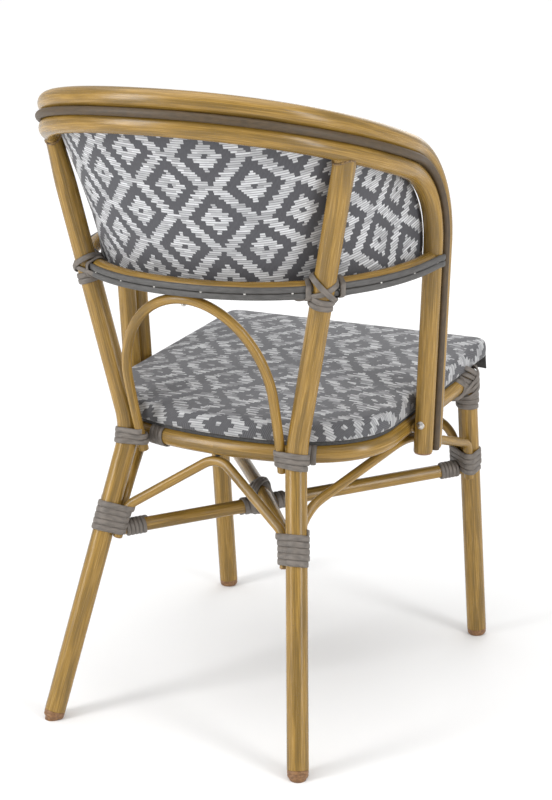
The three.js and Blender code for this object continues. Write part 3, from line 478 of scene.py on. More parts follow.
class Wardrobe:
    """The chair's finishes, each made once."""

    def __init__(self) -> None:
        """Makes the finishes."""
        self.bamboo = BambooPaint().make()
        self.brown_strand = StrandPlastic(
            "brown strand", "brownStrand", (0.088, 0.056, 0.025), (0.045, 0.029, 0.014)
        ).make()
        self.grey_cord = StrandPlastic(
            "grey cord", "greyCord", (0.19, 0.163, 0.14), (0.09, 0.08, 0.07), 0.7
        ).make()
        self.rail_strand = StrandPlastic(
            "rail strand", "greyCord", (0.098, 0.094, 0.09), (0.05, 0.048, 0.046), 0.9
        ).make()
        self.back_cloth = WovenCloth("back cloth", reversed_tones=False, step=5.79, row=6.2).make()
        self.seat_cloth = WovenCloth(
            "seat cloth", reversed_tones=True, step=5.96, row=6.26, tight=0.55, ragged=0.6, twill=0.34,
            hatch_step=2.5, flat_top_breakup=0.92, ground=(0.076, 0.076, 0.082), thread=(0.58, 0.585, 0.59),
        ).make()
        self.lining = Plain("dark lining", "lining", (0.066, 0.065, 0.064), (0.034, 0.033, 0.032), 0.8).make()
        self.moulding = Plain(
            "red-brown moulding", "glide", (0.29, 0.15, 0.06), (0.15, 0.07, 0.028), 0.45
        ).make()
        self.steel = Plain("bare steel", "steel", (0.62, 0.6, 0.57), (0.4, 0.38, 0.36), 0.28, 1.0).make()
        self.rubber = Plain(
            "black rubber", "blackRubber", (0.03, 0.03, 0.032), (0.015, 0.015, 0.016), 0.6
        ).make()
        self.spacer = Plain("painted spacer", "bamboo", (0.3, 0.18, 0.045), (0.19, 0.112, 0.025), 0.35).make()
        self.weld = Plain(
            "painted weld", "bamboo", (0.3, 0.18, 0.06), (0.05, 0.032, 0.018), roughness=0.5, grain=420.0
        ).make()


# Routes


@dataclass
class Station:
    """A place along a piece, with the way out and the way across of its section."""

    point: Vector
    out: Vector
    across: Vector

    def at(self, across: float, out: float) -> Vector:
        """Returns the point that lies so far across and out."""
        return self.point + self.across * across + self.out * out

    def on(self, side: Side) -> "Station":
        """Returns the station on a side, from its place on the left."""
        return Station(side.place(self.point), side.place(self.out), side.place(self.across))


def mirrored(half: Loop) -> Loop:
    """Returns a whole line from the right, from its left half, which starts at the middle."""
    return [Side.RIGHT.place(p) for p in reversed(half[1:])] + half


def lerp_at(low: Vector, high: Vector, z: float) -> Vector:
    """Returns the point at height z on the line through two points."""
    return low.lerp(high, (z - low.z) / (high.z - low.z))


def heading(low: Vector, high: Vector) -> Vector:
    """Returns the direction from one point to another."""
    return (high - low).normalized()


def squared(way: Vector, along: Vector) -> Vector:
    """Returns the direction nearest to a way that is square to another direction."""
    return (way - along * way.dot(along)).normalized()


def route_length(points: Sequence[Vector]) -> float:
    """Returns the length of a route."""
    return sum((b - a).length for a, b in zip(points, points[1:]))


def filleted(corners: Sequence[Vector], radii: Sequence[float], step: float = 3.0) -> Loop:
    """Joins straight runs with arcs.

    Args:
        corners: The ends and the corners between them.
        radii: The arc's radius at each inner corner.
        step: The distance between points on an arc.

    Returns:
        Points along the route, with long runs left whole.
    """
    points = [corners[0].copy()]
    for i, radius in enumerate(radii):
        corner = corners[i + 1]
        back, ahead = heading(corner, corners[i]), heading(corner, corners[i + 2])
        half = back.angle(ahead) / 2
        centre = corner + (back + ahead).normalized() * (radius / math.sin(half))
        start = corner + back * (radius / math.tan(half)) - centre
        end = corner + ahead * (radius / math.tan(half)) - centre
        sweep = start.angle(end)
        count = max(4, round(radius * sweep / step))
        axis = start.cross(end).normalized()
        points += [centre + Matrix.Rotation(sweep * k / count, 3, axis) @ start for k in range(count + 1)]
    return points + [corners[-1].copy()]


def resampled(points: Sequence[Vector], step: float) -> Loop:
    """Spaces points evenly.

    Args:
        points: A route.
        step: About how far apart the new points are.

    Returns:
        Points at even distances along the route.
    """
    lengths = [0.0]
    for a, b in zip(points, points[1:]):
        lengths.append(lengths[-1] + (b - a).length)
    count = max(2, round(lengths[-1] / step))
    found, i = [], 0
    for k in range(count + 1):
        want = lengths[-1] * k / count
        while i < len(points) - 2 and lengths[i + 1] < want:
            i += 1
        share = (want - lengths[i]) / max(lengths[i + 1] - lengths[i], 1e-9)
        found.append(points[i].lerp(points[i + 1], min(share, 1.0)))
    return found


def smoothed(points: Sequence[Vector], per_span: int = 8) -> Loop:
    """Rounds a route.

    Args:
        points: The points that it goes through.
        per_span: How many points each span gets.

    Returns:
        The rounded route.
    """
    found = []
    last = len(points) - 1
    for i in range(last):
        a, b, c, d = (points[min(max(i + k, 0), last)] for k in (-1, 0, 1, 2))
        for k in range(per_span):
            t = k / per_span
            low = (2 * b) + (c - a) * t
            high = (2 * a - 5 * b + 4 * c - d) * t * t
            found.append(0.5 * (low + high + (3 * b - a - 3 * c + d) * t ** 3))
    return found + [points[-1].copy()]


def carried(points: Sequence[Vector], first_out: Vector, closed: bool = False) -> list[Station]:
    """Carries a section along a route without twisting it.

    Args:
        points: The route.
        first_out: Roughly which way is out at its start.
        closed: Whether its end meets its start.

    Returns:
        A station at each point.
    """
    stations = []
    out = first_out
    count = len(points)
    for i, point in enumerate(points):
        before = points[i - 1] if i or closed else point
        after = points[(i + 1) % count] if i < count - 1 or closed else point
        inside = before != point and after != point
        along = heading(before, point) + heading(point, after) if inside else after - before
        along.normalize()
        out = squared(out, along)
        stations.append(Station(point, out, along.cross(out)))
    return stations


def circle(radius: float, sides: int) -> Outline:
    """Returns a round section."""
    angles = [2 * math.pi * i / sides for i in range(sides)]
    return [(radius * math.cos(a), radius * math.sin(a)) for a in angles]


def crowned(width: float, thickness: float) -> Outline:
    """Draws a flat cord's section, with a flat underside and a rounded back.

    Args:
        width: The cord's width.
        thickness: Its thickness.

    Returns:
        The section.
    """
    back_points, underside_share, edge_share = 9, 0.94, 0.3
    top = []
    for i in range(back_points):
        share = math.cos(math.pi * i / (back_points - 1))
        rise = edge_share + (1 - edge_share) * (1 - abs(share) ** 4) ** 0.5
        top.append((share * width / 2, thickness * rise))
    return [(-width / 2 * underside_share, 0.0), (0.0, 0.0), (width / 2 * underside_share, 0.0), *top]


# Meshes


class Workshop:
    """Turns routes and sections into pieces of the chair."""

    def __init__(self, wardrobe: Wardrobe) -> None:
        """Starts without a piece.

        Args:
            wardrobe: The finishes that the pieces are dressed in.
        """
        self.wardrobe = wardrobe
        self.shift = Vector((0.0, FOOTPRINT_SHIFT, 0.0))
        self.made = 0

    def skin(
        self, name: str, rings: Sequence[Loop], closed: bool = False, cloth: Cloth | None = None
    ) -> bpy.types.Object:
        """Stretches a skin over rings that all have the same number of points.

        Args:
            name: The piece's name.
            rings: Its rings, in millimetres.
            closed: Whether the last ring meets the first; otherwise the ends are filled.
            cloth: The UV place of a ring's point in millimetres, by ring and point, or None for the
                distance round and along.

        Returns:
            The piece, at the origin.
        """
        bm = bmesh.new()
        count = len(rings[0])
        made = bmesh.ops.create_circle(bm, cap_ends=False, segments=count, radius=1.0)
        first = ring = self._in_order(made["verts"], count)
        self._move(ring, rings[0])
        tags = {v: (0, j) for j, v in enumerate(ring)}
        for i, loop in enumerate(rings[1:], 1):
            grown = bmesh.ops.extrude_edge_only(bm, edges=self._edges(ring))
            fresh = {g for g in grown["geom"] if isinstance(g, bmesh.types.BMVert)}
            ring = [next(v for v in self._neighbours(old) if v in fresh) for old in ring]
            self._move(ring, loop)
            tags.update({v: (i, j) for j, v in enumerate(ring)})
        ends = self._edges(first), self._edges(ring)
        if closed:
            bmesh.ops.bridge_loops(bm, edges=ends[1] + ends[0])
        else:
            for edges in ends:
                bmesh.ops.edgeloop_fill(bm, edges=edges)
                for edge in edges:
                    edge.smooth = False
        bmesh.ops.recalc_face_normals(bm, faces=bm.faces)
        self._lay_out(bm, rings, tags, closed, cloth)
        return self._object(name, bm)

    @staticmethod
    def _neighbours(vert: bmesh.types.BMVert) -> list:
        """Returns the vertices at the other ends of a vertex's edges."""
        return [edge.other_vert(vert) for edge in vert.link_edges]

    def _in_order(self, verts: Sequence, count: int) -> list:
        """Returns a circle's vertices in their order round it.

        Args:
            verts: The vertices.
            count: How many there are.

        Returns:
            The vertices in order.
        """
        ring = [verts[0]]
        while len(ring) < count:
            ring.append(next(v for v in self._neighbours(ring[-1]) if v not in ring[-2:]))
        return ring

    @staticmethod
    def _edges(ring: Sequence) -> list:
        """Returns the edges between the neighbours of a ring of vertices."""
        pairs = zip(ring, [*ring[1:], ring[0]])
        return [next(e for e in a.link_edges if e.other_vert(a) is b) for a, b in pairs]

    def _move(self, ring: Sequence, loop: Loop) -> None:
        """Puts a ring's vertices at a loop's points."""
        for vert, point in zip(ring, loop):
            vert.co = (point + self.shift) * MM

    def _lay_out(
        self, bm: bmesh.types.BMesh, rings: Sequence[Loop], tags: dict, closed: bool, cloth: Cloth | None
    ) -> None:
        """Gives each face its UV place.

        Args:
            bm: The mesh.
            rings: Its rings, in millimetres.
            tags: The ring and point of each vertex.
            closed: Whether the last ring meets the first.
            cloth: The UV place by ring and point, or None.
        """
        layer = bm.loops.layers.uv.new("UVMap")
        count = len(rings[0])
        along = [0.0]
        for a, b in zip(rings, [*rings[1:], rings[0]]):
            along.append(along[-1] + sum((q - p).length for p, q in zip(a, b)) / count)
        girth = sum((rings[0][j] - rings[0][j - 1]).length for j in range(count))
        length_apart, quad = 137.0, 4
        offset = length_apart * self.made
        self.made += 1
        for face in bm.faces:
            places = [tags[loop.vert] for loop in face.loops]
            wraps = {j for _, j in places} >= {0, count - 1} and len(places) <= quad
            turns = closed and {i for i, _ in places} >= {0, len(rings) - 1}
            for loop, (i, j) in zip(face.loops, places):
                if cloth:
                    loop[layer].uv = Vector(cloth(i, j)) * MM
                    continue
                jj = count if wraps and j == 0 else j
                ii = len(rings) if turns and i == 0 else i
                loop[layer].uv = Vector((girth * jj / count, along[ii] + offset)) * MM

    def _object(self, name: str, bm: bmesh.types.BMesh) -> bpy.types.Object:
        """Makes a smooth-shaded object.

        Args:
            name: The object's name.
            bm: Its mesh, which is freed.

        Returns:
            The object, in the scene.
        """
        for face in bm.faces:
            face.smooth = True
        mesh = bpy.data.meshes.new(name)
        bm.to_mesh(mesh)
        bm.free()
        thing = bpy.data.objects.new(name, mesh)
        bpy.context.scene.collection.objects.link(thing)
        return thing

    def strip(
        self, name: str, stations: Sequence[Station], outline: Outline, closed: bool = False
    ) -> bpy.types.Object:
        """Makes a piece of one section that keeps its back to the way out."""
        return self.skin(name, [[s.at(a, o) for a, o in outline] for s in stations], closed)

    def tube(
        self, name: str, points: Sequence[Vector], radius: float, sides: int = 28, closed: bool = False
    ) -> bpy.types.Object:
        """Makes a round tube.

        Args:
            name: The piece's name.
            points: The tube's axis.
            radius: Its radius.
            sides: How many sides its section has.
            closed: Whether its end meets its start.

        Returns:
            The piece.
        """
        steepest = 0.9
        first = UPWARD if abs(heading(points[0], points[1]).z) < steepest else BACKWARD
        return self.strip(name, carried(points, first, closed), circle(radius, sides), closed)

    def turned(
        self, name: str, profile: Outline, base: Vector, axis: Vector, steps: int = 32
    ) -> bpy.types.Object:
        """Spins a profile round an axis.

        Args:
            name: The piece's name.
            profile: Radii and heights.
            base: Where height 0 lies.
            axis: The way up.
            steps: How many steps the turn has.

        Returns:
            The piece.
        """
        bm = bmesh.new()
        verts = [bm.verts.new((r * MM, 0.0, z * MM)) for r, z in profile]
        edges = [bm.edges.new(pair) for pair in zip(verts, verts[1:])]
        whole_turn, same_place = 2 * math.pi, 1e-6
        bmesh.ops.spin(
            bm, geom=verts + edges, cent=(0, 0, 0), axis=UPWARD, angle=whole_turn, steps=steps, use_merge=True
        )
        bmesh.ops.remove_doubles(bm, verts=bm.verts, dist=same_place)
        bmesh.ops.recalc_face_normals(bm, faces=bm.faces)
        tilt = UPWARD.rotation_difference(axis).to_matrix().to_4x4()
        bmesh.ops.transform(bm, matrix=Matrix.Translation((base + self.shift) * MM) @ tilt, verts=bm.verts)
        layer = bm.loops.layers.uv.new("UVMap")
        for face in bm.faces:
            for loop in face.loops:
                loop[layer].uv = (loop.vert.co.x + loop.vert.co.y, loop.vert.co.z)
        return self._object(name, bm)

    def wear(self, piece: bpy.types.Object, finish: Finish, *nodes: str) -> bpy.types.Object:
        """Dresses a piece and lets it ride on the chair.

        Args:
            piece: The piece.
            finish: What it wears.
            *nodes: The CAD nodes that it stands for.

        Returns:
            The piece.
        """
        piece.data.materials.clear()
        piece.data.materials.append(finish.material)
        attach(piece, "root")
        if nodes:
            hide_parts(*nodes)
        log.info("%s: %d faces", piece.name, len(piece.data.polygons))
        return piece

    def bamboo(self, piece: bpy.types.Object, *nodes: str) -> bpy.types.Object:
        """Dresses a piece in bamboo paint."""
        return self.wear(piece, self.wardrobe.bamboo, *nodes)

    def cord(self, piece: bpy.types.Object, *nodes: str) -> bpy.types.Object:
        """Dresses a piece in grey cord."""
        return self.wear(piece, self.wardrobe.grey_cord, *nodes)


# Frame of the chair


def round_point(angle: float, half_width: float, depth: float, power: float) -> Pair:
    """Works out a point of a rounded outline.

    Args:
        angle: From the back at 0 to the side at a quarter turn.
        half_width: The outline's half width.
        depth: Its depth.
        power: How square it is; 2 is an ellipse.

    Returns:
        The point's place across and back.
    """

    def bent(value: float) -> float:
        """Returns a sine or cosine, drawn out by the power."""
        return math.copysign(abs(value) ** (2 / power), value)

    return half_width * bent(math.sin(angle)), depth * bent(math.cos(angle))


@dataclass
class TopRail:
    """Two tubes with a strand between, round the back and down as arms."""

    half_width: float = 231.3
    back_y: float = 291.7
    side_y: float = 44.8
    power: float = 2.315
    back_z: float = 824.8
    fall: float = 0.288
    straight: float = 9.7
    taper: float = 0.127
    bend: float = 122.0
    bend_handle_share: float = 0.5523
    spacing: float = 29.6
    radius: float = 12.7
    strand_radius: float = 5.4
    strand_gap: float = 0.3
    strand_sides: int = 16
    step: float = 9.0
    arm_end: Vector = point_field(225.0, -39.7, 355.0)
    arm_up: Vector = field(default_factory=lambda: Vector((0.04, 0.008, 1.0)).normalized())
    plug: Outline = ((0.0, 0.6), (12.3, 0.6), (12.3, -0.8), (11.4, -2.6), (8.6, -3.6), (0.0, -3.7))

    def __post_init__(self) -> None:
        """Works out the bend between the rail and the arm."""
        self.depth = self.back_y - self.side_y
        start = Vector((
            self.half_width - self.taper * self.straight,
            self.side_y - self.straight,
            self.back_z - self.fall * (self.depth + self.straight),
        ))
        ahead = Vector((-self.taper, -1, -self.fall)).normalized()
        rise = start.z - self.bend - self.arm_end.z
        self.bend_end = self.arm_end + self.arm_up * (rise / self.arm_up.z)
        handle = self.bend_handle_share * self.bend
        self.bezier = (start, start + ahead * handle, self.bend_end + self.arm_up * handle, self.bend_end)

    def point(self, place: float) -> Vector:
        """Works out the middle line.

        Args:
            place: From 0 at the back by 1 and 2 at the bend's ends to 3 at the arm's end.

        Returns:
            The middle line's point there.
        """
        if place <= 1:
            x, y = round_point(place * math.pi / 2, self.half_width, self.depth, self.power)
            return Vector((x, self.side_y + y, self.back_z - self.fall * (self.depth - y)))
        if place <= 2:
            t = place - 1
            a, b, c, d = self.bezier
            return a * (1 - t) ** 3 + b * (3 * t * (1 - t) ** 2) + c * (3 * t * t * (1 - t)) + d * t ** 3
        return self.bend_end.lerp(self.arm_end, place - 2)

    def station(self, place: float) -> Station:
        """Finds the section's ways.

        Args:
            place: The place on the middle line, as for a point.

        Returns:
            The middle line's station; its way across is up at the back and forward on the arm.
        """
        nearby = 0.004
        before = Side.RIGHT.place(self.point(nearby)) if place == 0 else self.point(place - nearby)
        along = heading(before, self.point(min(place + nearby, 3.0)))
        out = squared(Vector((-along.y, along.x, 0)).normalized() if place < 1 else LEFTWARD, along)
        return Station(self.point(place), out, along.cross(out))

    def half(self) -> list[Station]:
        """Walks along the left half.

        Returns:
            Close stations, from the back.
        """
        back, bend, arm = 44, 26, 12
        places = [k / back for k in range(back)] + [1 + k / bend for k in range(bend)]
        return [self.station(p) for p in places + [2 + k / arm for k in range(arm + 1)]]

    def line(self, across: float, out: float) -> Loop:
        """Returns an evenly spaced line beside the whole middle line, from the right arm's end."""
        return resampled(mirrored([s.at(across, out) for s in self.half()]), self.step)

    def rear_arm(self, z: float) -> Vector:
        """Returns the left rear arm tube's axis at a height."""
        low, high = (self.station(p).at(-self.spacing / 2, 0) for p in (3.0, 2.0))
        return lerp_at(low, high, z)

    def build(self, shop: Workshop) -> None:
        """Makes the two tubes, the strand and the arms' plugs.

        Args:
            shop: The workshop.
        """
        half = self.spacing / 2
        groove = math.sqrt((self.radius + self.strand_radius + self.strand_gap) ** 2 - half ** 2)
        for word, across in (("upper", half), ("lower", -half)):
            tube = shop.tube(f"rail_tube_{word}", self.line(across, 0), self.radius)
            shop.bamboo(tube, f"top_rail_{word}")
        strand = shop.tube("rail_strand", self.line(0, groove), self.strand_radius, self.strand_sides)
        shop.wear(strand, shop.wardrobe.brown_strand, "top_rail_strand")
        for side in Side:
            for word, across in (("front", half), ("rear", -half)):
                end = side.place(self.station(3.0).at(across, 0))
                name = f"arm_plug_{word}_{side.word}"
                plug = shop.turned(f"{name}_cap", self.plug, end, side.place(self.arm_up))
                shop.wear(plug, shop.wardrobe.moulding, name)


@dataclass
class LowerRail:
    """The rail behind the panel's foot, with two grey strands nailed on its outer face."""

    rail: TopRail
    below_bend: float = 13.7
    back_y: float = 206.0
    power: float = 2.22
    rise: float = 0.058
    radius: float = 10.3
    sides: int = 24
    step: float = 7.0
    strand_width: float = 8.1
    strand_height: float = 3.6
    strand_gap: float = 0.2
    strand_lift: float = 0.1
    strand_drop: float = 2.2
    strand_end: int = 4
    arm_lift: float = 0.4
    arm_angles: Sequence[float] = (0.42, 0.28, 0.14, 0.0, -0.14, -0.28)
    nail_radius: float = 1.7
    nail_crown: float = 0.9
    nail_shoulder: float = 0.6
    nail_flat: float = 0.7
    nail_search: int = 200
    nail_step: float = 53.5
    nail_steps: int = 12
    nail_start_share: float = 0.4
    nail_seat_share: float = 0.62

    def __post_init__(self) -> None:
        """Finds the rail's end on the arm."""
        self.end = self.rail.rear_arm(self.rail.bend_end.z - self.below_bend)

    def point(self, angle: float) -> Vector:
        """Returns the rail's axis, from its back at angle 0 to the arm at a quarter turn."""
        x, y = round_point(angle, self.end.x, self.back_y - self.end.y, self.power)
        return Vector((x, self.end.y + y, self.end.z - self.rise * y))

    def station(self, angle: float) -> Station:
        """Finds the section's ways.

        Args:
            angle: The place on the axis, as for a point.

        Returns:
            The rail's station there.
        """
        nearby = 0.002
        along = heading(self.point(angle - nearby), self.point(angle + nearby))
        out = Vector((-along.y, along.x, 0)).normalized()
        return Station(self.point(angle), out, along.cross(out))

    def half(self, count: int = 60) -> list[Station]:
        """Returns close stations of the left half."""
        return [self.station(math.pi / 2 * k / count) for k in range(count + 1)]

    def build(self, shop: Workshop) -> None:
        """Makes the rail, its strands and their nails.

        Args:
            shop: The workshop.
        """
        line = resampled(mirrored([s.point for s in self.half()]), self.step)
        shop.bamboo(shop.tube("low_rail_tube", line, self.radius, self.sides), "lower_back_rail")
        for word, sign in (("upper", 1), ("lower", -1)):
            sides = [f"side_rail_strand_{word}_{side.word}" for side in Side]
            strand = self._strand(shop, f"low_rail_strand_{word}", sign)
            shop.wear(strand, shop.wardrobe.rail_strand, f"back_rail_strand_{word}", *sides)
        self._nails(shop)

    def _strand(self, shop: Workshop, name: str, sign: int) -> bpy.types.Object:
        """Makes one strand, which runs over the arm's tube and ends at its groove.

        Args:
            shop: The workshop.
            name: The piece's name.
            sign: 1 for the upper strand, -1 for the lower one.

        Returns:
            The piece.
        """
        lift = sign * (self.strand_width + self.strand_gap) / 2 - self.strand_drop
        on_rail = self.half()[:-self.strand_end]
        stations = [Station(s.at(lift, self.radius + self.strand_lift), s.out, s.across) for s in on_rail]
        arm = self.rail.rear_arm(self.end.z + lift)
        for angle in self.arm_angles:
            out = Vector((math.cos(angle), math.sin(angle), 0))
            stations.append(Station(arm + out * (self.rail.radius + self.arm_lift), out, UPWARD))
        other = [s.on(Side.RIGHT) for s in reversed(stations[1:])]
        return shop.strip(name, other + stations, crowned(self.strand_width, self.strand_height))

    def _nails(self, shop: Workshop) -> None:
        """Sets the nails' heads in the seam between the strands.

        Args:
            shop: The workshop.
        """
        r, low, high = self.nail_radius, self.nail_shoulder, self.nail_crown
        profile = [(0.0, high), (r * self.nail_flat, low), (r, 0.0), (r, -low), (0.0, -low)]
        walked, last, number = self.nail_step * self.nail_start_share, None, 0
        for station in self.half(self.nail_search):
            walked += (station.point - last).length if last else 0.0
            last = station.point
            if walked < self.nail_step:
                continue
            walked = 0.0
            number += 1
            lift = self.radius + self.strand_height * self.nail_seat_share
            for side in Side:
                seat = side.place(station.at(-self.strand_drop, lift))
                name = f"nail_{side.word}_{number}"
                nail = shop.turned(name, profile, seat, side.place(station.out), self.nail_steps)
                shop.wear(nail, shop.wardrobe.steel)


@dataclass
class Legs:
    """The four legs and their glides."""

    rail: TopRail
    radius: float = 14.0
    sides: int = 32
    rear_foot: Vector = point_field(186.5, 262.0, 0.0)
    rear_bend: Vector = point_field(124.0, 143.0, 384.0)
    rear_top: Vector = point_field(206.7, 174.0, 764.0)
    rear_radius: float = 110.0
    rear_arc_step: float = 4.0
    rear_step: float = 8.0
    meeting_steps: int = 250
    front_foot: Vector = point_field(213.0, -262.0, 0.0)
    front_top: Vector = point_field(205.6, -212.3, 440.0)
    front_end_z: float = 396.0
    front_step: float = 10.0
    flat_length: float = 75.0
    flat_depth: float = 21.5
    flat_width: float = 33.0
    glide_height: float = 11.0
    glide_gap: float = 0.3
    glide_floor: float = 0.1
    glide: Outline = (
        (0, 0), (13.6, 0), (13.8, -0.8), (13.8, -3.6), (13.5, -4.4), (12.6, -4.7), (13.4, -5.4), (13.6, -6.6),
        (12.9, -8.6), (11.4, -10.2), (10.6, -11.4), (10.4, -24), (0, -24),
    )

    def __post_init__(self) -> None:
        """Names the legs' lines and finds where the uprights meet the rail."""
        self.rear_line = (self.rear_foot, self.rear_bend)
        self.front_line = (self.front_foot, self.front_top)
        places = (k / self.meeting_steps for k in range(self.meeting_steps))
        meet = min(places, key=lambda p: (self.rail.point(p) - self.rear_top).length)
        self.meeting = self.rail.station(meet)
        self.rear_end = self.meeting.at(-self.rail.spacing / 2, 0)

    def _above_glide(self, low: Vector, high: Vector, gap: float = 0.0) -> Vector:
        """Returns the glide's top on a leg's line, less a gap."""
        up = heading(low, high)
        return low + up * (self.glide_height / up.z - gap)

    def rear_route(self) -> Loop:
        """Returns the left rear leg's axis from its glide to the rail."""
        corners = [self._above_glide(*self.rear_line), self.rear_bend, self.rear_end]
        return resampled(filleted(corners, [self.rear_radius], self.rear_arc_step), self.rear_step)

    def front_route(self) -> Loop:
        """Returns the left front leg's axis from its glide to the ring."""
        ends = [self._above_glide(*self.front_line), lerp_at(*self.front_line, self.front_end_z)]
        return resampled(ends, self.front_step)

    def build(self, shop: Workshop) -> None:
        """Makes the legs and the glides.

        Args:
            shop: The workshop.
        """
        for side in Side:
            shop.bamboo(self._rear(shop, side), f"rear_leg_{side.word}")
            route = [side.place(p) for p in self.front_route()]
            front = shop.tube(f"leg_front_{side.word}", route, self.radius, self.sides)
            shop.bamboo(front, f"front_leg_{side.word}")
            for end, line in (("rear", self.rear_line), ("front", self.front_line)):
                self._glide(shop, side, f"glide_{end}_{side.word}", line)

    def _rear(self, shop: Workshop, side: Side) -> bpy.types.Object:
        """Makes a rear leg, pressed flat where it meets the rail.

        Args:
            shop: The workshop.
            side: The side of the chair.

        Returns:
            The piece.
        """
        route = [side.place(p) for p in self.rear_route()]
        radial = side.place(self.meeting.out)
        rings = []
        for station in carried(route, BACKWARD):
            t = eased(1 - (route[-1] - station.point).length / self.flat_length)
            along = station.across.cross(station.out)
            out = squared(radial, along)
            wide = along.cross(out)
            ring = []
            for a, o in circle(self.radius, self.sides):
                offset = station.across * a + station.out * o
                deep = offset.dot(out) * (1 + t * (self.flat_depth / (2 * self.radius) - 1))
                broad = offset.dot(wide) * (1 + t * (self.flat_width / (2 * self.radius) - 1))
                ring.append(station.point + out * deep + wide * broad)
            rings.append(ring)
        return shop.skin(f"leg_rear_{side.word}", rings)

    def _glide(self, shop: Workshop, side: Side, name: str, line: tuple[Vector, Vector]) -> None:
        """Makes a glide, turned on the leg's line and cut flat on the floor.

        Args:
            shop: The workshop.
            side: The side of the chair.
            name: The CAD node's name.
            line: The leg's line.
        """
        top = side.place(self._above_glide(*line, self.glide_gap))
        glide = shop.turned(f"{name}_cap", self.glide, top, side.place(heading(*line)))
        bm = bmesh.new()
        bm.from_mesh(glide.data)
        geometry = bm.verts[:] + bm.edges[:] + bm.faces[:]
        floor = (0, 0, self.glide_floor * MM)
        cut = bmesh.ops.bisect_plane(bm, geom=geometry, plane_co=floor, plane_no=(0, 0, 1), clear_inner=True)
        rim = [g for g in cut["geom_cut"] if isinstance(g, bmesh.types.BMEdge)]
        bmesh.ops.edgeloop_fill(bm, edges=rim)
        bm.to_mesh(glide.data)
        bm.free()
        shop.wear(glide, shop.wardrobe.moulding, name)


@dataclass
class SeatPlane:
    """The tilted plane through the middle of the seat ring."""

    z: float = 383.2
    tilt: float = 0.0729
    half_width: float = 197.0
    back_y: float = 127.5
    side_y: float = 16.7
    front_y: float = -254.0
    front_splay: float = 3.0
    power: float = 2.34
    corner: float = 26.0
    back_steps: int = 34
    side_steps: int = 20
    corner_steps: int = 12
    front_steps: int = 12

    def place(self, x: float, y: float, height: float) -> Vector:
        """Returns the chair's point for a place in the plane and a height over it."""
        c, s = math.cos(self.tilt), math.sin(self.tilt)
        return Vector((x, y * c + height * s, self.z - y * s + height * c))

    def outline(self, grow: float, front_grow: float, corner: float | None = None) -> list[Pair]:
        """Draws the ring's outline, grown at its sides and front, from the back's middle by the left.

        Args:
            grow: How far it grows at the back and the sides.
            front_grow: How far it grows at the front.
            corner: The front corners' radius, or None for the ring's own, grown.

        Returns:
            The outline's places in the seat's plane.
        """
        corner = self.corner + grow if corner is None else corner
        wide = self.half_width + grow
        half = []
        for i in range(self.back_steps + 1):
            angle = math.pi / 2 * i / self.back_steps
            x, y = round_point(angle, wide, self.back_y - self.side_y + grow, self.power)
            half.append((x, self.side_y + y))
        cx, cy = wide + self.front_splay - corner, self.front_y - front_grow + corner
        n = self.side_steps
        for i in range(1, n):
            half.append((wide + self.front_splay * i / n, self.side_y + (cy - self.side_y) * i / n))
        for i in range(self.corner_steps + 1):
            angle = math.pi / 2 * i / self.corner_steps
            half.append((cx + corner * math.cos(angle), cy - corner * math.sin(angle)))
        for i in range(1, self.front_steps + 1):
            half.append((cx * (1 - i / self.front_steps), cy - corner))
        return half + [(-x, y) for x, y in reversed(half[1:-1])]

    def on_side(self, y: float, height: float = 0.0) -> Vector:
        """Returns a point over the ring's side, at a place in front of its back curve."""
        splay = self.front_splay * (self.side_y - y) / (self.side_y - self.front_y)
        return self.place(self.half_width + splay, y, height)


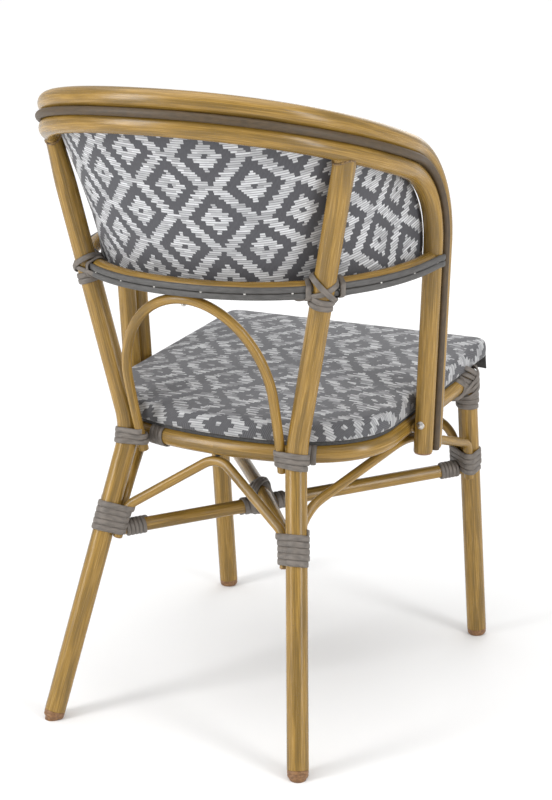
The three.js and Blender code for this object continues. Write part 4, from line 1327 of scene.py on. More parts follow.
@dataclass
class SeatFrame:
    """The ring, the arches under it, the hoop behind it, the stretchers and what fastens them."""

    plane: SeatPlane
    legs: Legs
    lower: LowerRail
    ring_radius: float = 12.5
    ring_sides: int = 28
    thin_radius: float = 6.5
    thin_sides: int = 20
    bar_radius: float = 9.5
    bar_sides: int = 24
    bar_step: float = 12.0
    gap: float = 0.3
    hoop_half: float = 106.8
    hoop_foot_half: float = 104.0
    hoop_foot_y: float = 142.5
    hoop_foot_z: float = 358.0
    hoop_spring_z: float = 460.0
    hoop_set_forward: float = 3.0
    arch_spacer: float = 2.4
    arch_step: float = 2.5
    arch_rear_z: float = 248.0
    arch_front_z: float = 261.6
    back_corner_z: float = 288.0
    front_corner_z: float = 324.0
    side_rear_corner_z: float = 311.0
    side_front_corner_z: float = 315.0
    side_contact_y: float = -35.0
    back_arch_angle: float = math.pi + 0.3
    front_arch_angle: float = math.pi
    side_rear_angle: float = -math.pi / 2 - 0.35
    side_front_angle: float = 1.26
    back_radii: Sequence[float] = (35, 32, 35)
    front_radii: Sequence[float] = (40, 80, 40)
    side_radii: Sequence[float] = (75, 80, 17)
    lower_bar_rear_z: float = 249.0
    lower_bar_front_z: float = 271.0
    upper_bar_rear_z: float = 262.0
    upper_bar_front_z: float = 280.0
    upper_bar_radius: float = 900.0
    upper_bar_lift: float = 0.125
    bar_end_gap: float = 1.5
    bar_front_reach: float = 7.0
    cap: Outline = ((0, 1.6), (4.4, 1.4), (6.0, 0.5), (6.0, -0.6), (0, -0.6))
    cap_steps: int = 20
    screw: Outline = ((0, 2.8), (1.8, 2.5), (3.0, 1.4), (3.2, -0.8), (0, -0.8))
    screw_steps: int = 16

    def ring_line(self) -> Loop:
        """Returns the ring's axis."""
        return [self.plane.place(x, y, 0) for x, y in self.plane.outline(0, 0)]

    def hoop_line(self) -> Loop:
        """Bends the hoop.

        Returns:
            Its axis from the right foot to the left one.
        """
        bend_steps, leg_steps = 24, 8
        top = self.lower.point(0).z - self.lower.radius - self.thin_radius - self.gap
        back_y = self.lower.back_y - self.hoop_set_forward
        lean = (back_y - self.hoop_foot_y) / (top - self.hoop_foot_z)
        half = []
        for i in range(bend_steps + 1):
            angle = math.pi / 2 * i / bend_steps
            z = self.hoop_spring_z + (top - self.hoop_spring_z) * math.cos(angle)
            half.append((self.hoop_half * math.sin(angle), z))
        for i in range(1, leg_steps + 1):
            t = i / leg_steps
            x = self.hoop_half + (self.hoop_foot_half - self.hoop_half) * t * t
            half.append((x, self.hoop_spring_z + (self.hoop_foot_z - self.hoop_spring_z) * t))
        return mirrored([Vector((x, self.hoop_foot_y + lean * (z - self.hoop_foot_z), z)) for x, z in half])

    def _beside(self, line: tuple[Vector, Vector], z: float, angle: float) -> Vector:
        """Places a thin tube beside a leg.

        Args:
            line: The left leg's line.
            z: The height.
            angle: Which side of the leg, from its left by its back.

        Returns:
            The thin tube's axis.
        """
        along = heading(*line)
        left = squared(LEFTWARD, along)
        reach = self.legs.radius + self.thin_radius + 2 * self.gap
        place = lerp_at(*line, z) + left * (reach * math.cos(angle))
        return place + along.cross(left) * (reach * math.sin(angle))

    def _arch(self, corners: Sequence[Vector], radii: Sequence[float]) -> Loop:
        """Bends an arch.

        Args:
            corners: Its ends and corners; the middle one is where its rounded top lies.
            radii: The radii at its corners.

        Returns:
            The arch's axis.
        """
        points = list(corners)
        before, top, after = points[1:4]
        half = heading(top, before).angle(heading(top, after)) / 2
        points[2] = Vector((top.x, top.y, top.z + radii[1] * (1 / math.sin(half) - 1)))
        return filleted(points, radii, self.arch_step)

    def _even_arch(self, half: Loop, top: Vector, radii: Sequence[float]) -> Loop:
        """Returns the axis of an arch that is the same on both sides."""
        return self._arch([*half, top, *[Side.RIGHT.place(p) for p in reversed(half)]], radii)

    def arches(self) -> dict[str, Loop]:
        """Bends the four arches.

        Returns:
            Their axes by their names.
        """
        under = -(self.ring_radius + self.arch_spacer + self.thin_radius)
        plane, rear, front = self.plane, self.legs.rear_line, self.legs.front_line
        back = [self._beside(rear, z, self.back_arch_angle) for z in (self.arch_rear_z, self.back_corner_z)]
        fore = [
            self._beside(front, z, self.front_arch_angle) for z in (self.arch_front_z, self.front_corner_z)
        ]
        side = [
            self._beside(rear, z, self.side_rear_angle) for z in (self.arch_rear_z, self.side_rear_corner_z)
        ]
        side.append(plane.on_side(self.side_contact_y, under))
        for z in (self.side_front_corner_z, self.arch_front_z):
            side.append(self._beside(front, z, self.side_front_angle))
        left = self._arch(side, self.side_radii)
        return {
            "back": self._even_arch(back, plane.place(0, plane.back_y, under), self.back_radii),
            "front": self._even_arch(fore, plane.place(0, plane.front_y, under), self.front_radii),
            "left": left,
            "right": [Side.RIGHT.place(p) for p in left],
        }

    def bars(self) -> tuple[Loop, Loop]:
        """Lays one stretcher over the other.

        Returns:
            The axes of the lower and the upper stretcher, from the rear to the front.
        """
        beside = (self.legs.radius + self.thin_radius + 2 * self.gap) * math.sqrt(0.5)
        depth = beside + self.thin_radius + self.bar_end_gap
        ends = []
        for rear_z, front_z in (
            (self.lower_bar_rear_z, self.lower_bar_front_z), (self.upper_bar_rear_z, self.upper_bar_front_z)
        ):
            rear = lerp_at(*self.legs.rear_line, rear_z)
            front = Side.RIGHT.place(lerp_at(*self.legs.front_line, front_z))
            along = heading(rear, front)
            middle = rear.lerp(front, rear.x / (rear.x - front.x))
            ends.append((rear + along * depth, front - along * (depth - self.bar_front_reach), middle))
        high = ends[0][2].z + 2 * self.bar_radius + 2 * self.gap
        peak = ends[1][2].copy()
        peak.z = high + (high - self.upper_bar_rear_z) * self.upper_bar_lift
        upper = filleted([ends[1][0], peak, ends[1][1]], [self.upper_bar_radius], self.bar_step)
        return resampled(ends[0][:2], self.bar_step), [Side.RIGHT.place(q) for q in upper]

    def build(self, shop: Workshop) -> None:
        """Makes the ring, the hoop, the arches, the stretchers and their fixings.

        Args:
            shop: The workshop.
        """
        ring = shop.tube("ring_tube", self.ring_line(), self.ring_radius, self.ring_sides, True)
        shop.bamboo(ring, "seat_ring")
        hoop = self.hoop_line()
        shop.bamboo(shop.tube("hoop_tube", hoop, self.thin_radius, self.thin_sides), "back_hoop")
        for word, line in self.arches().items():
            arch = shop.tube(f"arch_tube_{word}", line, self.thin_radius, self.thin_sides)
            shop.bamboo(arch, f"arch_{word}")
            for number, (end, inside) in enumerate(((line[0], line[1]), (line[-1], line[-2]))):
                way = heading(inside, end)
                plug = shop.turned(f"arch_cap_{word}_{number}", self.cap, end, way, self.cap_steps)
                shop.wear(plug, shop.wardrobe.moulding)
        top = hoop[len(hoop) // 2] - UPWARD * self.thin_radius
        screw = shop.turned("hoop_screw_head", self.screw, top, -UPWARD, self.screw_steps)
        shop.wear(screw, shop.wardrobe.steel, "hoop_screw")
        for word, line in zip(("lower", "upper"), self.bars()):
            bar = shop.tube(f"stretcher_tube_{word}", line, self.bar_radius, self.bar_sides)
            shop.bamboo(bar, f"stretcher_{word}")


# Bindings


@dataclass
class Strand:
    """A tube that a binding goes round."""

    path: Loop
    radius: float


@dataclass
class Slice:
    """A tube's slanted section in the plane of a cord's turn."""

    left: float
    back: float
    radius: float
    turn: float
    stretch: float


@dataclass
class Binding:
    """A flat cord wound round a bundle of tubes."""

    origin: Vector
    along: Vector
    left: Vector
    tubes: list[Strand]
    turns: float
    width: float
    pitch: float
    thickness: float = 2.6
    steps: int = 40
    clearance: float = 0.25
    sway: float = 0.25
    sway_scale: float = 0.11
    sway_rise: float = 0.3
    sway_seed: float = 0.1
    least_along: float = 0.3

    def __post_init__(self) -> None:
        """Finds the third direction."""
        self.back = self.along.cross(self.left)

    def cord(self, shop: Workshop, name: str, side: Side, *nodes: str) -> None:
        """Makes the cord."""
        stations = [s.on(side) for s in self.stations()]
        shop.cord(shop.strip(name, stations, crowned(self.width, self.thickness)), *nodes)

    def stations(self) -> list[Station]:
        """Winds the cord, a little unevenly.

        Returns:
            The cord's stations.
        """
        found = []
        for i in range(round(self.turns * self.steps) + 1):
            angle = 2 * math.pi * i / self.steps
            height = self.width / 2 + self.pitch * i / self.steps
            edge = self._edge([c for t in self.tubes for c in self._slices(t, height)], angle)
            out = self.left * math.cos(angle) + self.back * math.sin(angle)
            place = (i * self.sway_scale, height * self.sway_rise, self.origin.x * self.sway_seed)
            wobble = noise.noise(Vector(place)) * self.sway
            point = self.origin + self.along * (height + wobble) + self.left * edge[0] + self.back * edge[1]
            found.append(Station(point, out, self.along))
        return found

    def _slices(self, tube: Strand, height: float) -> list[Slice]:
        """Cuts a tube with the plane of the cord's turn.

        Args:
            tube: The tube.
            height: The plane's height over the origin.

        Returns:
            The tube's section there, or nothing.
        """
        path = tube.path
        above = [(p - self.origin).dot(self.along) - height for p in path]
        for i in range(1, len(path)):
            if above[i] * above[i - 1] <= 0 and above[i] != above[i - 1]:
                share = above[i - 1] / (above[i - 1] - above[i])
                point = path[i - 1].lerp(path[i], share) - self.origin
                way = heading(path[i - 1], path[i])
                turn = math.atan2(way.dot(self.back), way.dot(self.left))
                stretch = 1 / max(abs(way.dot(self.along)), self.least_along)
                return [Slice(point.dot(self.left), point.dot(self.back), tube.radius, turn, stretch)]
        return []

    def _edge(self, bundle: Sequence[Slice], angle: float) -> Pair:
        """Finds the bundle's outermost point in one direction.

        Args:
            bundle: The sections of the tubes.
            angle: The direction, from the left.

        Returns:
            The point's place to the left and to the back.
        """
        best, edge = -math.inf, (0.0, 0.0)
        for cut in bundle:
            short = cut.radius + self.clearance
            long = short * cut.stretch
            c, s = math.cos(angle - cut.turn), math.sin(angle - cut.turn)
            reach = math.hypot(long * c, short * s)
            a, b = long * long * c / reach, short * short * s / reach
            far = cut.left * math.cos(angle) + cut.back * math.sin(angle) + reach
            if far > best:
                best = far
                c, s = math.cos(cut.turn), math.sin(cut.turn)
                edge = (cut.left + a * c - b * s, cut.back + a * s + b * c)
        return edge


@dataclass
class Winding:
    """A cord round the tubes at a leg, the same on both sides of the chair."""

    name: str
    line: tuple[Vector, Vector]
    tubes: list[Strand]
    low: float
    turns: float
    pitch: float
    overlap: float = 0.3

    def wind(self, shop: Workshop) -> None:
        """Winds the cord on both sides.

        Args:
            shop: The workshop.
        """
        along = heading(*self.line)
        left, width = squared(LEFTWARD, along), self.pitch + self.overlap
        start = lerp_at(*self.line, self.low)
        for side in Side:
            binding = Binding(start, along, left, self.tubes, self.turns, width, self.pitch)
            name = f"{self.name}_{side.word}"
            binding.cord(shop, f"{name}_cord", side, name)


@dataclass
class Bindings:
    """Every cord that is wound round the frame."""

    frame: SeatFrame
    seat_zone: Pair = (340.0, 410.0)
    seat_zone_margin: int = 2
    bar_rear_inset: float = 6.0
    bar_front_inset: float = 1.5
    bar_turns: float = 5
    bar_width: float = 5.7
    bar_pitch: float = 5.6
    bar_thickness: float = 2.4
    bar_steps: int = 32
    cross_turns: float = 3
    cross_width: float = 5.4
    cross_pitch: float = 5.8
    cross_rear_z: float = 249.0
    cross_front_z: float = 268.0

    def build(self, shop: Workshop) -> None:
        """Makes the bindings of both sides and of the stretchers.

        Args:
            shop: The workshop.
        """
        for winding in self._windings():
            winding.wind(shop)
        lower, upper = self.frame.bars()
        for end, path, inset in (
            ("rear_left", lower, self.bar_rear_inset),
            ("front_right", lower[::-1], self.bar_front_inset),
            ("rear_right", upper, self.bar_rear_inset),
            ("front_left", upper[::-1], self.bar_front_inset),
        ):
            self._bar(shop, f"bar_binding_{end}", path, inset)
        self._cross(shop, lower, upper)

    def _windings(self) -> list[Winding]:
        """Plans the cords on the legs.

        Returns:
            The windings from the feet up.
        """
        legs, seat = self.frame.legs, self.frame
        rear, front = Strand(legs.rear_route(), legs.radius), Strand(legs.front_route(), legs.radius)
        arches = {name: Strand(line, seat.thin_radius) for name, line in seat.arches().items()}
        side_arch = Strand(arches["left"].path[::-1], seat.thin_radius)
        hoop = Strand(seat.hoop_line()[::-1], seat.thin_radius)
        low, high = self.seat_zone
        on_leg = [p for p in rear.path if low < p.z < high]
        seat_line = (on_leg[self.seat_zone_margin], on_leg[-1 - self.seat_zone_margin])
        upright = (legs.rear_bend, legs.rear_end)
        at_rear, at_front = [rear, arches["back"], arches["left"]], [front, arches["front"], side_arch]
        return [
            Winding("leg_binding_rear", legs.rear_line, at_rear, low=249, turns=5, pitch=8.0),
            Winding("leg_binding_front", legs.front_line, at_front, low=267.5, turns=3.5, pitch=8.0),
            Winding("seat_binding_front", legs.front_line, [front], low=361.5, turns=2.5, pitch=7.4),
            Winding("upright_binding", upright, [rear], low=581, turns=1.5, pitch=7.2),
            Winding("seat_binding_rear", seat_line, [rear, hoop], low=364.5, turns=2.4, pitch=7.2),
        ]

    def _bar(self, shop: Workshop, name: str, path: Loop, inset: float) -> None:
        """Winds a cord round a stretcher's end.

        Args:
            shop: The workshop.
            name: The CAD node's name.
            path: The stretcher's axis from that end.
            inset: How far from the end the cord starts.
        """
        along = heading(path[0], path[1])
        tube = Strand(path, self.frame.bar_radius)
        binding = Binding(
            path[0] + along * inset, along, squared(UPWARD, along), [tube], self.bar_turns, self.bar_width,
            self.bar_pitch, self.bar_thickness, self.bar_steps,
        )
        binding.cord(shop, f"{name}_cord", Side.LEFT, name)

    def _cross(self, shop: Workshop, lower: Loop, upper: Loop) -> None:
        """Winds a cord round the stretchers' crossing.

        Args:
            shop: The workshop.
            lower: The lower stretcher's axis.
            upper: The upper stretcher's axis.
        """
        tubes = [Strand(sorted(path, key=lambda p: p.y), self.frame.bar_radius) for path in (lower, upper)]
        rear = lerp_at(*self.frame.legs.rear_line, self.cross_rear_z)
        front = lerp_at(*self.frame.legs.front_line, self.cross_front_z)
        wide = rear.x + front.x
        z = self.cross_rear_z + (self.cross_front_z - self.cross_rear_z) * rear.x / wide
        z += self.frame.bar_radius + self.frame.gap
        middle = Vector((0, rear.y + (front.y - rear.y) * rear.x / wide, z))
        origin = middle - BACKWARD * ((self.cross_turns * self.cross_pitch + self.cross_width) / 2)
        binding = Binding(
            origin, BACKWARD, LEFTWARD, tubes, self.cross_turns, self.cross_width, self.cross_pitch,
            self.bar_thickness,
        )
        binding.cord(shop, "cross_binding_cord", Side.LEFT, "cross_binding")


@dataclass(frozen=True)
class Tied:
    """How the lashings of one side differ from those of the other."""

    rail_slant: float
    rail_reach: float
    rail_turns: float
    back_reach: float
    back_turns: float


TIED = {
    Side.LEFT: Tied(rail_slant=0.42, rail_reach=-33.0, rail_turns=1.5, back_reach=89.0, back_turns=3.5),
    Side.RIGHT: Tied(rail_slant=0.62, rail_reach=-19.5, rail_turns=1.0, back_reach=131.0, back_turns=2.0),
}


@dataclass
class Lashings:
    """The cords that cross over the joints, on top of the bindings."""

    frame: SeatFrame
    width: float = 7.4
    thickness: float = 2.3
    pitch: float = 7.1
    single_lie: float = 0.2
    crossed_lie: float = 0.3
    layer: float = 2.1
    corner_layer: float = 2.0
    joint_z: float = 607.3
    joint_reach: float = 75.0
    joint_sink: float = 4.0
    joint_steps: int = 120
    strand_lifts: Pair = (2.0, -6.4)
    strand_seat: float = 1.6
    strand_radius: float = 3.4
    inner_reach: float = 20.5
    corner_from: int = -130
    corner_to: int = -275
    corner_step: int = -8
    corner_reach: float = 60.0
    corner_bite: float = 0.5
    corner_leans: Pair = (0.7, -0.62)
    corner_turns: Pair = (4, 3)
    corner_rises: Pair = (2.0, 3.0)
    corner_sides: Pair = (-22.0, 20.0)
    back_points: int = 30
    back_near: int = 12
    cross_turns: float = 2
    bar_reaches: Pair = (-24.0, 24.0)

    def build(self, shop: Workshop) -> None:
        """Makes the lashings of both sides and of the stretchers.

        Args:
            shop: The workshop.
        """
        for side in Side:
            self._at_lower_rail(shop, side)
            self._at_ring_corner(shop, side)
            self._at_ring_back(shop, side)
        self._at_crossing(shop)

    def _turns(
        self, shop: Workshop, name: str, side: Side, middle: Vector, along: Vector, start: Vector,
        tubes: list[Strand], turns: float, lie: float,
    ) -> None:
        """Winds some turns round crossing tubes, centred on a place.

        Args:
            shop: The workshop.
            name: The piece's name.
            side: The side of the chair; everything else is given for the left.
            middle: The middle of the turns.
            along: The direction that the turns step along.
            start: Roughly the side where the cord starts, out of sight.
            tubes: The tubes inside.
            turns: How many turns there are.
            lie: How much higher the cord lies than on bare tubes.
        """
        raised = [Strand(t.path, t.radius + lie) for t in tubes]
        origin = middle - along * ((self.pitch * turns + self.width) / 2)
        left = squared(start, along)
        binding = Binding(origin, along, left, raised, turns, self.width, self.pitch, self.thickness)
        binding.cord(shop, name, side)

    def _at_lower_rail(self, shop: Workshop, side: Side) -> None:
        """Crosses cords over the joint of an upright and the lower rail.

        Args:
            shop: The workshop.
            side: The side of the chair.
        """
        legs, lower, tied = self.frame.legs, self.frame.lower, TIED[side]
        up = heading(legs.rear_bend, legs.rear_end)
        joint = lerp_at(legs.rear_bend, legs.rear_end, self.joint_z)
        stations = lower.half(self.joint_steps)
        near = min(stations, key=lambda q: (q.point - joint).length)
        way = up.cross(near.out).normalized()
        close = [q for q in stations if (q.point - near.point).length < self.joint_reach]
        upright = Strand([joint - up * self.joint_reach, joint + up * self.joint_reach], legs.radius)
        rail = Strand([q.point for q in close], lower.radius)
        seat, thin = lower.radius + self.strand_seat, self.strand_radius
        strands = [Strand([q.at(lift, seat) for q in close], thin) for lift in self.strand_lifts]
        centre = joint - near.out * self.joint_sink
        for k, lean in enumerate((tied.rail_slant, -tied.rail_slant)):
            along = (up * math.cos(lean) + way * math.sin(lean)).normalized()
            name, lie = f"lashing_rail_{side.word}_{k}", self.crossed_lie + self.layer * k
            self._turns(shop, name, side, centre, along, -near.out, [upright, rail], 1, lie)
        for k, (reach, turns) in enumerate(((tied.rail_reach, tied.rail_turns), (self.inner_reach, 1))):
            place = near.point + way * reach
            i = min(range(len(close)), key=lambda n: (close[n].point - place).length)
            beside = heading(close[i - 1].point, close[i].point)
            name = f"lashing_rail_{side.word}_side_{k}"
            inside = [rail, *strands]
            self._turns(shop, name, side, close[i].point, beside, -near.out, inside, turns, self.single_lie)

    def _at_ring_corner(self, shop: Workshop, side: Side) -> None:
        """Crosses cords over the ring's corner on top of a front leg.

        Args:
            shop: The workshop.
            side: The side of the chair.
        """
        legs, plane = self.frame.legs, self.frame.plane
        up, joint = heading(*legs.front_line), lerp_at(*legs.front_line, legs.front_end_z)
        ring = [plane.on_side(y) for y in range(self.corner_from, self.corner_to, self.corner_step)]
        way = heading(ring[0], ring[-1])
        ends = [joint - up * self.corner_reach, joint + up * self.corner_reach]
        leg, tube = Strand(ends, legs.radius - self.corner_bite), Strand(ring, self.frame.ring_radius)
        rows = zip(self.corner_leans, self.corner_turns, self.corner_rises)
        for k, (lean, turns, rise) in enumerate(rows):
            along = (up * math.cos(lean) + way * math.sin(lean)).normalized()
            name, lie = f"lashing_corner_{side.word}_{k}", self.crossed_lie + self.corner_layer * k
            self._turns(shop, name, side, joint + up * rise, along, -LEFTWARD, [leg, tube], turns, lie)
        for k, reach in enumerate(self.corner_sides):
            middle = plane.on_side(joint.y) + way * reach
            name = f"lashing_corner_{side.word}_side_{k}"
            self._turns(shop, name, side, middle, way, -LEFTWARD, [tube], 1, self.single_lie)

    def _at_ring_back(self, shop: Workshop, side: Side) -> None:
        """Winds cords round the ring beside a rear leg and its hoop's foot.

        Args:
            shop: The workshop.
            side: The side of the chair.
        """
        line, tied = self.frame.ring_line(), TIED[side]
        k = min(range(self.back_points), key=lambda i: abs(line[i].x - tied.back_reach))
        way = heading(line[k - 1], line[k + 1])
        tube = Strand(line[max(k - self.back_near, 0):k + self.back_near], self.frame.ring_radius)
        name, turns = f"lashing_back_{side.word}", tied.back_turns
        self._turns(shop, name, side, line[k], way, -BACKWARD, [tube], turns, self.single_lie)

    def _at_crossing(self, shop: Workshop) -> None:
        """Crosses cords over the two stretchers where they meet.

        Args:
            shop: The workshop.
        """
        paths = [sorted(path, key=lambda q: q.y) for path in self.frame.bars()]
        low, high = (min(path, key=lambda q: abs(q.x)) for path in paths)
        tubes = [Strand(path, self.frame.bar_radius) for path in paths]
        first, second = (heading(path[0], path[-1]) for path in paths)
        middle, turns = (low + high) / 2, self.cross_turns
        for k, way in enumerate((first + second, first - second)):
            name, lie = f"lashing_cross_{k}", self.crossed_lie + self.layer * k
            self._turns(shop, name, Side.LEFT, middle, way.normalized(), -UPWARD, tubes, turns, lie)
        for k, reach in enumerate(self.bar_reaches):
            name, place = f"lashing_bar_{k}", low + first * reach
            self._turns(shop, name, Side.LEFT, place, first, -UPWARD, tubes[:1], turns, self.single_lie)


@dataclass
class Fixings:
    """The arm's bolts and screws and the weld beads."""

    legs: Legs
    bolt: Outline = (
        (0, 3.5), (2.2, 3.3), (3.7, 2.4), (4.4, 1.2), (4.5, 0.9), (6.2, 0.9), (6.2, 0.2), (0, 0.2)
    )
    screw: Outline = ((0, 2.7), (2.1, 2.4), (3.4, 1.5), (4.0, 0.7), (5.2, 0.6), (5.3, -0.8), (0, -0.8))
    bead_radius: float = 1.5
    bead_sink: float = 0.8
    bead_points: int = 48
    bead_sides: int = 8

    def build(self, shop: Workshop) -> None:
        """Makes the fixings of both sides.

        Args:
            shop: The workshop.
        """
        rail = self.legs.rail
        for side in Side:
            node = f"arm_bolt_{side.word}"
            low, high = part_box(node)
            middle = (Vector(low) + Vector(high)) / 2 / MM - shop.shift
            inner = min(abs(low[0]), abs(high[0])) / MM
            base = Vector((side.value * inner, middle.y, middle.z))
            bolt = shop.turned(f"{node}_head", self.bolt, base, side.place(LEFTWARD))
            shop.wear(bolt, shop.wardrobe.steel, node)
            self._bead(shop, side)
            face = side.place(rail.rear_arm(middle.z) + BACKWARD * rail.radius)
            screw = shop.turned(f"arm_screw_{side.word}", self.screw, face, BACKWARD)
            shop.wear(screw, shop.wardrobe.steel)

    def _bead(self, shop: Workshop, side: Side) -> None:
        """Makes the bead where an upright meets the top rail.

        Args:
            shop: The workshop.
            side: The side of the chair.
        """
        legs = self.legs
        up = heading(legs.rear_bend, legs.rear_end)
        out = squared(legs.meeting.out, up)
        wide = up.cross(out)
        ring = []
        for k in range(self.bead_points):
            angle = 2 * math.pi * k / self.bead_points
            a, b = legs.flat_width / 2 * math.cos(angle), legs.flat_depth / 2 * math.sin(angle)
            sink = legs.rail.radius * math.sqrt(max(1 - (b / legs.rail.radius) ** 2, 0.0))
            ring.append(side.place(legs.rear_end + wide * a + out * b - up * (sink + self.bead_sink)))
        bead = shop.tube(f"weld_upright_{side.word}", ring, self.bead_radius, self.bead_sides, True)
        shop.wear(bead, shop.wardrobe.weld)


# Cloth


def meeting(a: Vector, from_a: float, b: Vector, from_b: float) -> Vector:
    """Finds the place right of the line from a to b that lies so far from each of them.

    Args:
        a: The first point.
        from_a: The distance from it.
        b: The second point.
        from_b: The distance from that one.

    Returns:
        The place.
    """
    span = (b - a).length
    up = (b - a) / span
    run = (from_a ** 2 - from_b ** 2 + span ** 2) / (2 * span)
    return a + up * run + Vector((up.y, -up.x)) * math.sqrt(max(from_a ** 2 - run ** 2, 0.0))


def unrolled(columns: Sequence[Loop]) -> list[tuple[Vector, Vector]]:
    """Rolls a curved sheet out flat.

    Args:
        columns: Lines up the sheet, side by side.

    Returns:
        The flat places of each column's foot and head.
    """
    flat = [(Vector((0.0, 0.0)), Vector((0.0, (columns[0][-1] - columns[0][0]).length)))]
    for before, after in zip(columns, columns[1:]):
        low, high = flat[-1]
        foot = meeting(low, (after[0] - before[0]).length, high, (after[0] - before[-1]).length)
        head = meeting(foot, (after[-1] - after[0]).length, high, (after[-1] - before[-1]).length)
        flat.append((foot, head))
    return flat


@dataclass(frozen=True)
class Span:
    """A stretch in which something has its full effect, with a slope at each end."""

    start: float
    rise: float
    end: float
    fall: float

    def effect(self, place: float) -> float:
        """Returns the effect at a place, from 0 to 1."""
        return kept((place - self.start) / self.rise) * kept((self.end - place) / self.fall)


@dataclass
class BackPanel:
    """The curved sheet inside both rails, covered in cloth."""

    rail: TopRail
    lower: LowerRail
    thickness: float = 8.0
    clearance: float = 1.6
    bottom_drop: float = 9.2
    bow: float = 6.0
    bow_span: Span = Span(0.5, 0.25, 1.3, 0.3)
    sag: float = 8.0
    sag_span: Span = Span(0.46, 0.05, 0.82, 0.3)
    top_drop: float = 6.5
    side_share: float = 0.774
    rows: int = 28
    back_columns: int = 48
    bend_columns: int = 26
    edge_share: float = 0.7
    bow_heights: Pair = (0.33, 0.66)
    top_shares: Sequence[float] = (1.02, 1.04, 1.06)
    foot_shares: Sequence[float] = (-0.06, -0.04, -0.02)
    edge_cloth: float = 100.0
    cloth_middle: Vector = point_field(-11.74, 150.6)
    cloth_turn: float = 0.0453
    left_pull: float = 0.22
    left_pull_from: float = 70.0
    fill: float = 0.9

    def __post_init__(self) -> None:
        """Lists the heights of a section's points, as shares of its column."""
        shares = [k / self.rows for k in range(self.rows + 1)]
        self.shares = [*shares, *self.top_shares, *reversed(shares), *self.foot_shares]

    def column(self, place: float) -> tuple[Loop, Vector]:
        """Draws the panel's middle line from its foot up.

        Args:
            place: Where the column's head is, as for a point of the top rail.

        Returns:
            The line and the way out there.
        """
        station = self.rail.station(place)
        inset = self.rail.radius + self.clearance + self.thickness / 2
        share = place * self.side_share
        if place > 1:
            share = self.side_share + (place - 1) * (1 - self.side_share)
        foot = self.lower.station(math.pi / 2 * share)
        top = station.at(-self.rail.spacing / 2 - self.top_drop * kept(2 - place), -inset)
        low = foot.point - foot.out * inset
        knee = low.copy()
        low.z = foot.point.z - self.bottom_drop - self.sag * self.sag_span.effect(share)
        knee.z = foot.point.z + self.lower.radius
        bow = foot.out * (self.bow * self.bow_span.effect(place))
        bowed = [knee.lerp(top, height) - bow for height in self.bow_heights]
        line = smoothed([low, (low + knee) / 2, knee, *bowed, top])
        whole = resampled(line, route_length(line) / self.rows)
        return whole[:self.rows + 1], (foot.out + station.out).normalized()

    def build(self, shop: Workshop) -> None:
        """Makes the panel.

        Args:
            shop: The workshop.
        """
        places = [k / self.back_columns for k in range(self.back_columns)]
        places += [1 + k / self.bend_columns for k in range(self.bend_columns + 1)]
        half = [self.column(p) for p in places]
        flat = unrolled([line for line, _ in half])
        laid = [tuple(Vector((-v.x, v.y)) for v in ends) for ends in reversed(flat[1:])] + flat
        rings = []
        for line, out in reversed(half[1:]):
            rings.append(self._section([Side.RIGHT.place(p) for p in line], Side.RIGHT.place(out)))
        rings += [self._section(line, out) for line, out in half]
        panel = shop.skin("panel_cloth", rings, cloth=partial(self._cloth, laid))
        shop.wear(panel, shop.wardrobe.back_cloth, "back_panel")

    def _cloth(self, laid: Sequence[tuple[Vector, Vector]], i: int, j: int) -> Pair:
        """Lays the cloth on the panel, a little drawn out at the left.

        Args:
            laid: The flat places of each column's foot and head.
            i: The column.
            j: The point of its section.

        Returns:
            The point's place on the cloth.
        """
        share = kept(self.shares[j])
        place = laid[i][0].lerp(laid[i][1], share)
        place.y += (self.shares[j] - share) * self.edge_cloth
        place.x += self.left_pull * max(place.x - self.left_pull_from, 0.0)
        place -= self.cloth_middle
        c, s = math.cos(self.cloth_turn), math.sin(self.cloth_turn)
        return place.x * c + place.y * s, place.y * c - place.x * s

    def _section(self, line: Loop, out: Vector) -> Loop:
        """Draws the closed section over a column.

        Args:
            line: The column.
            out: The way out there.

        Returns:
            The section, up its outside and down its inside.
        """
        half, share = self.thickness / 2, self.edge_share
        top, foot = line[-1], line[0]
        ring = [p + out * half for p in line]
        ring.append(top + out * half * share + UPWARD * half * share)
        ring += [top + UPWARD * half, top - out * half * share + UPWARD * half * share]
        ring += [p - out * half for p in reversed(line)]
        ring.append(foot - out * half * share - UPWARD * half * share)
        return ring + [foot - UPWARD * half, foot + out * half * share - UPWARD * half * share]


@dataclass(frozen=True)
class PadRow:
    """A ring of points round the pad: how far in, how high and how far along the cloth."""

    share: float
    height: float
    drop: float


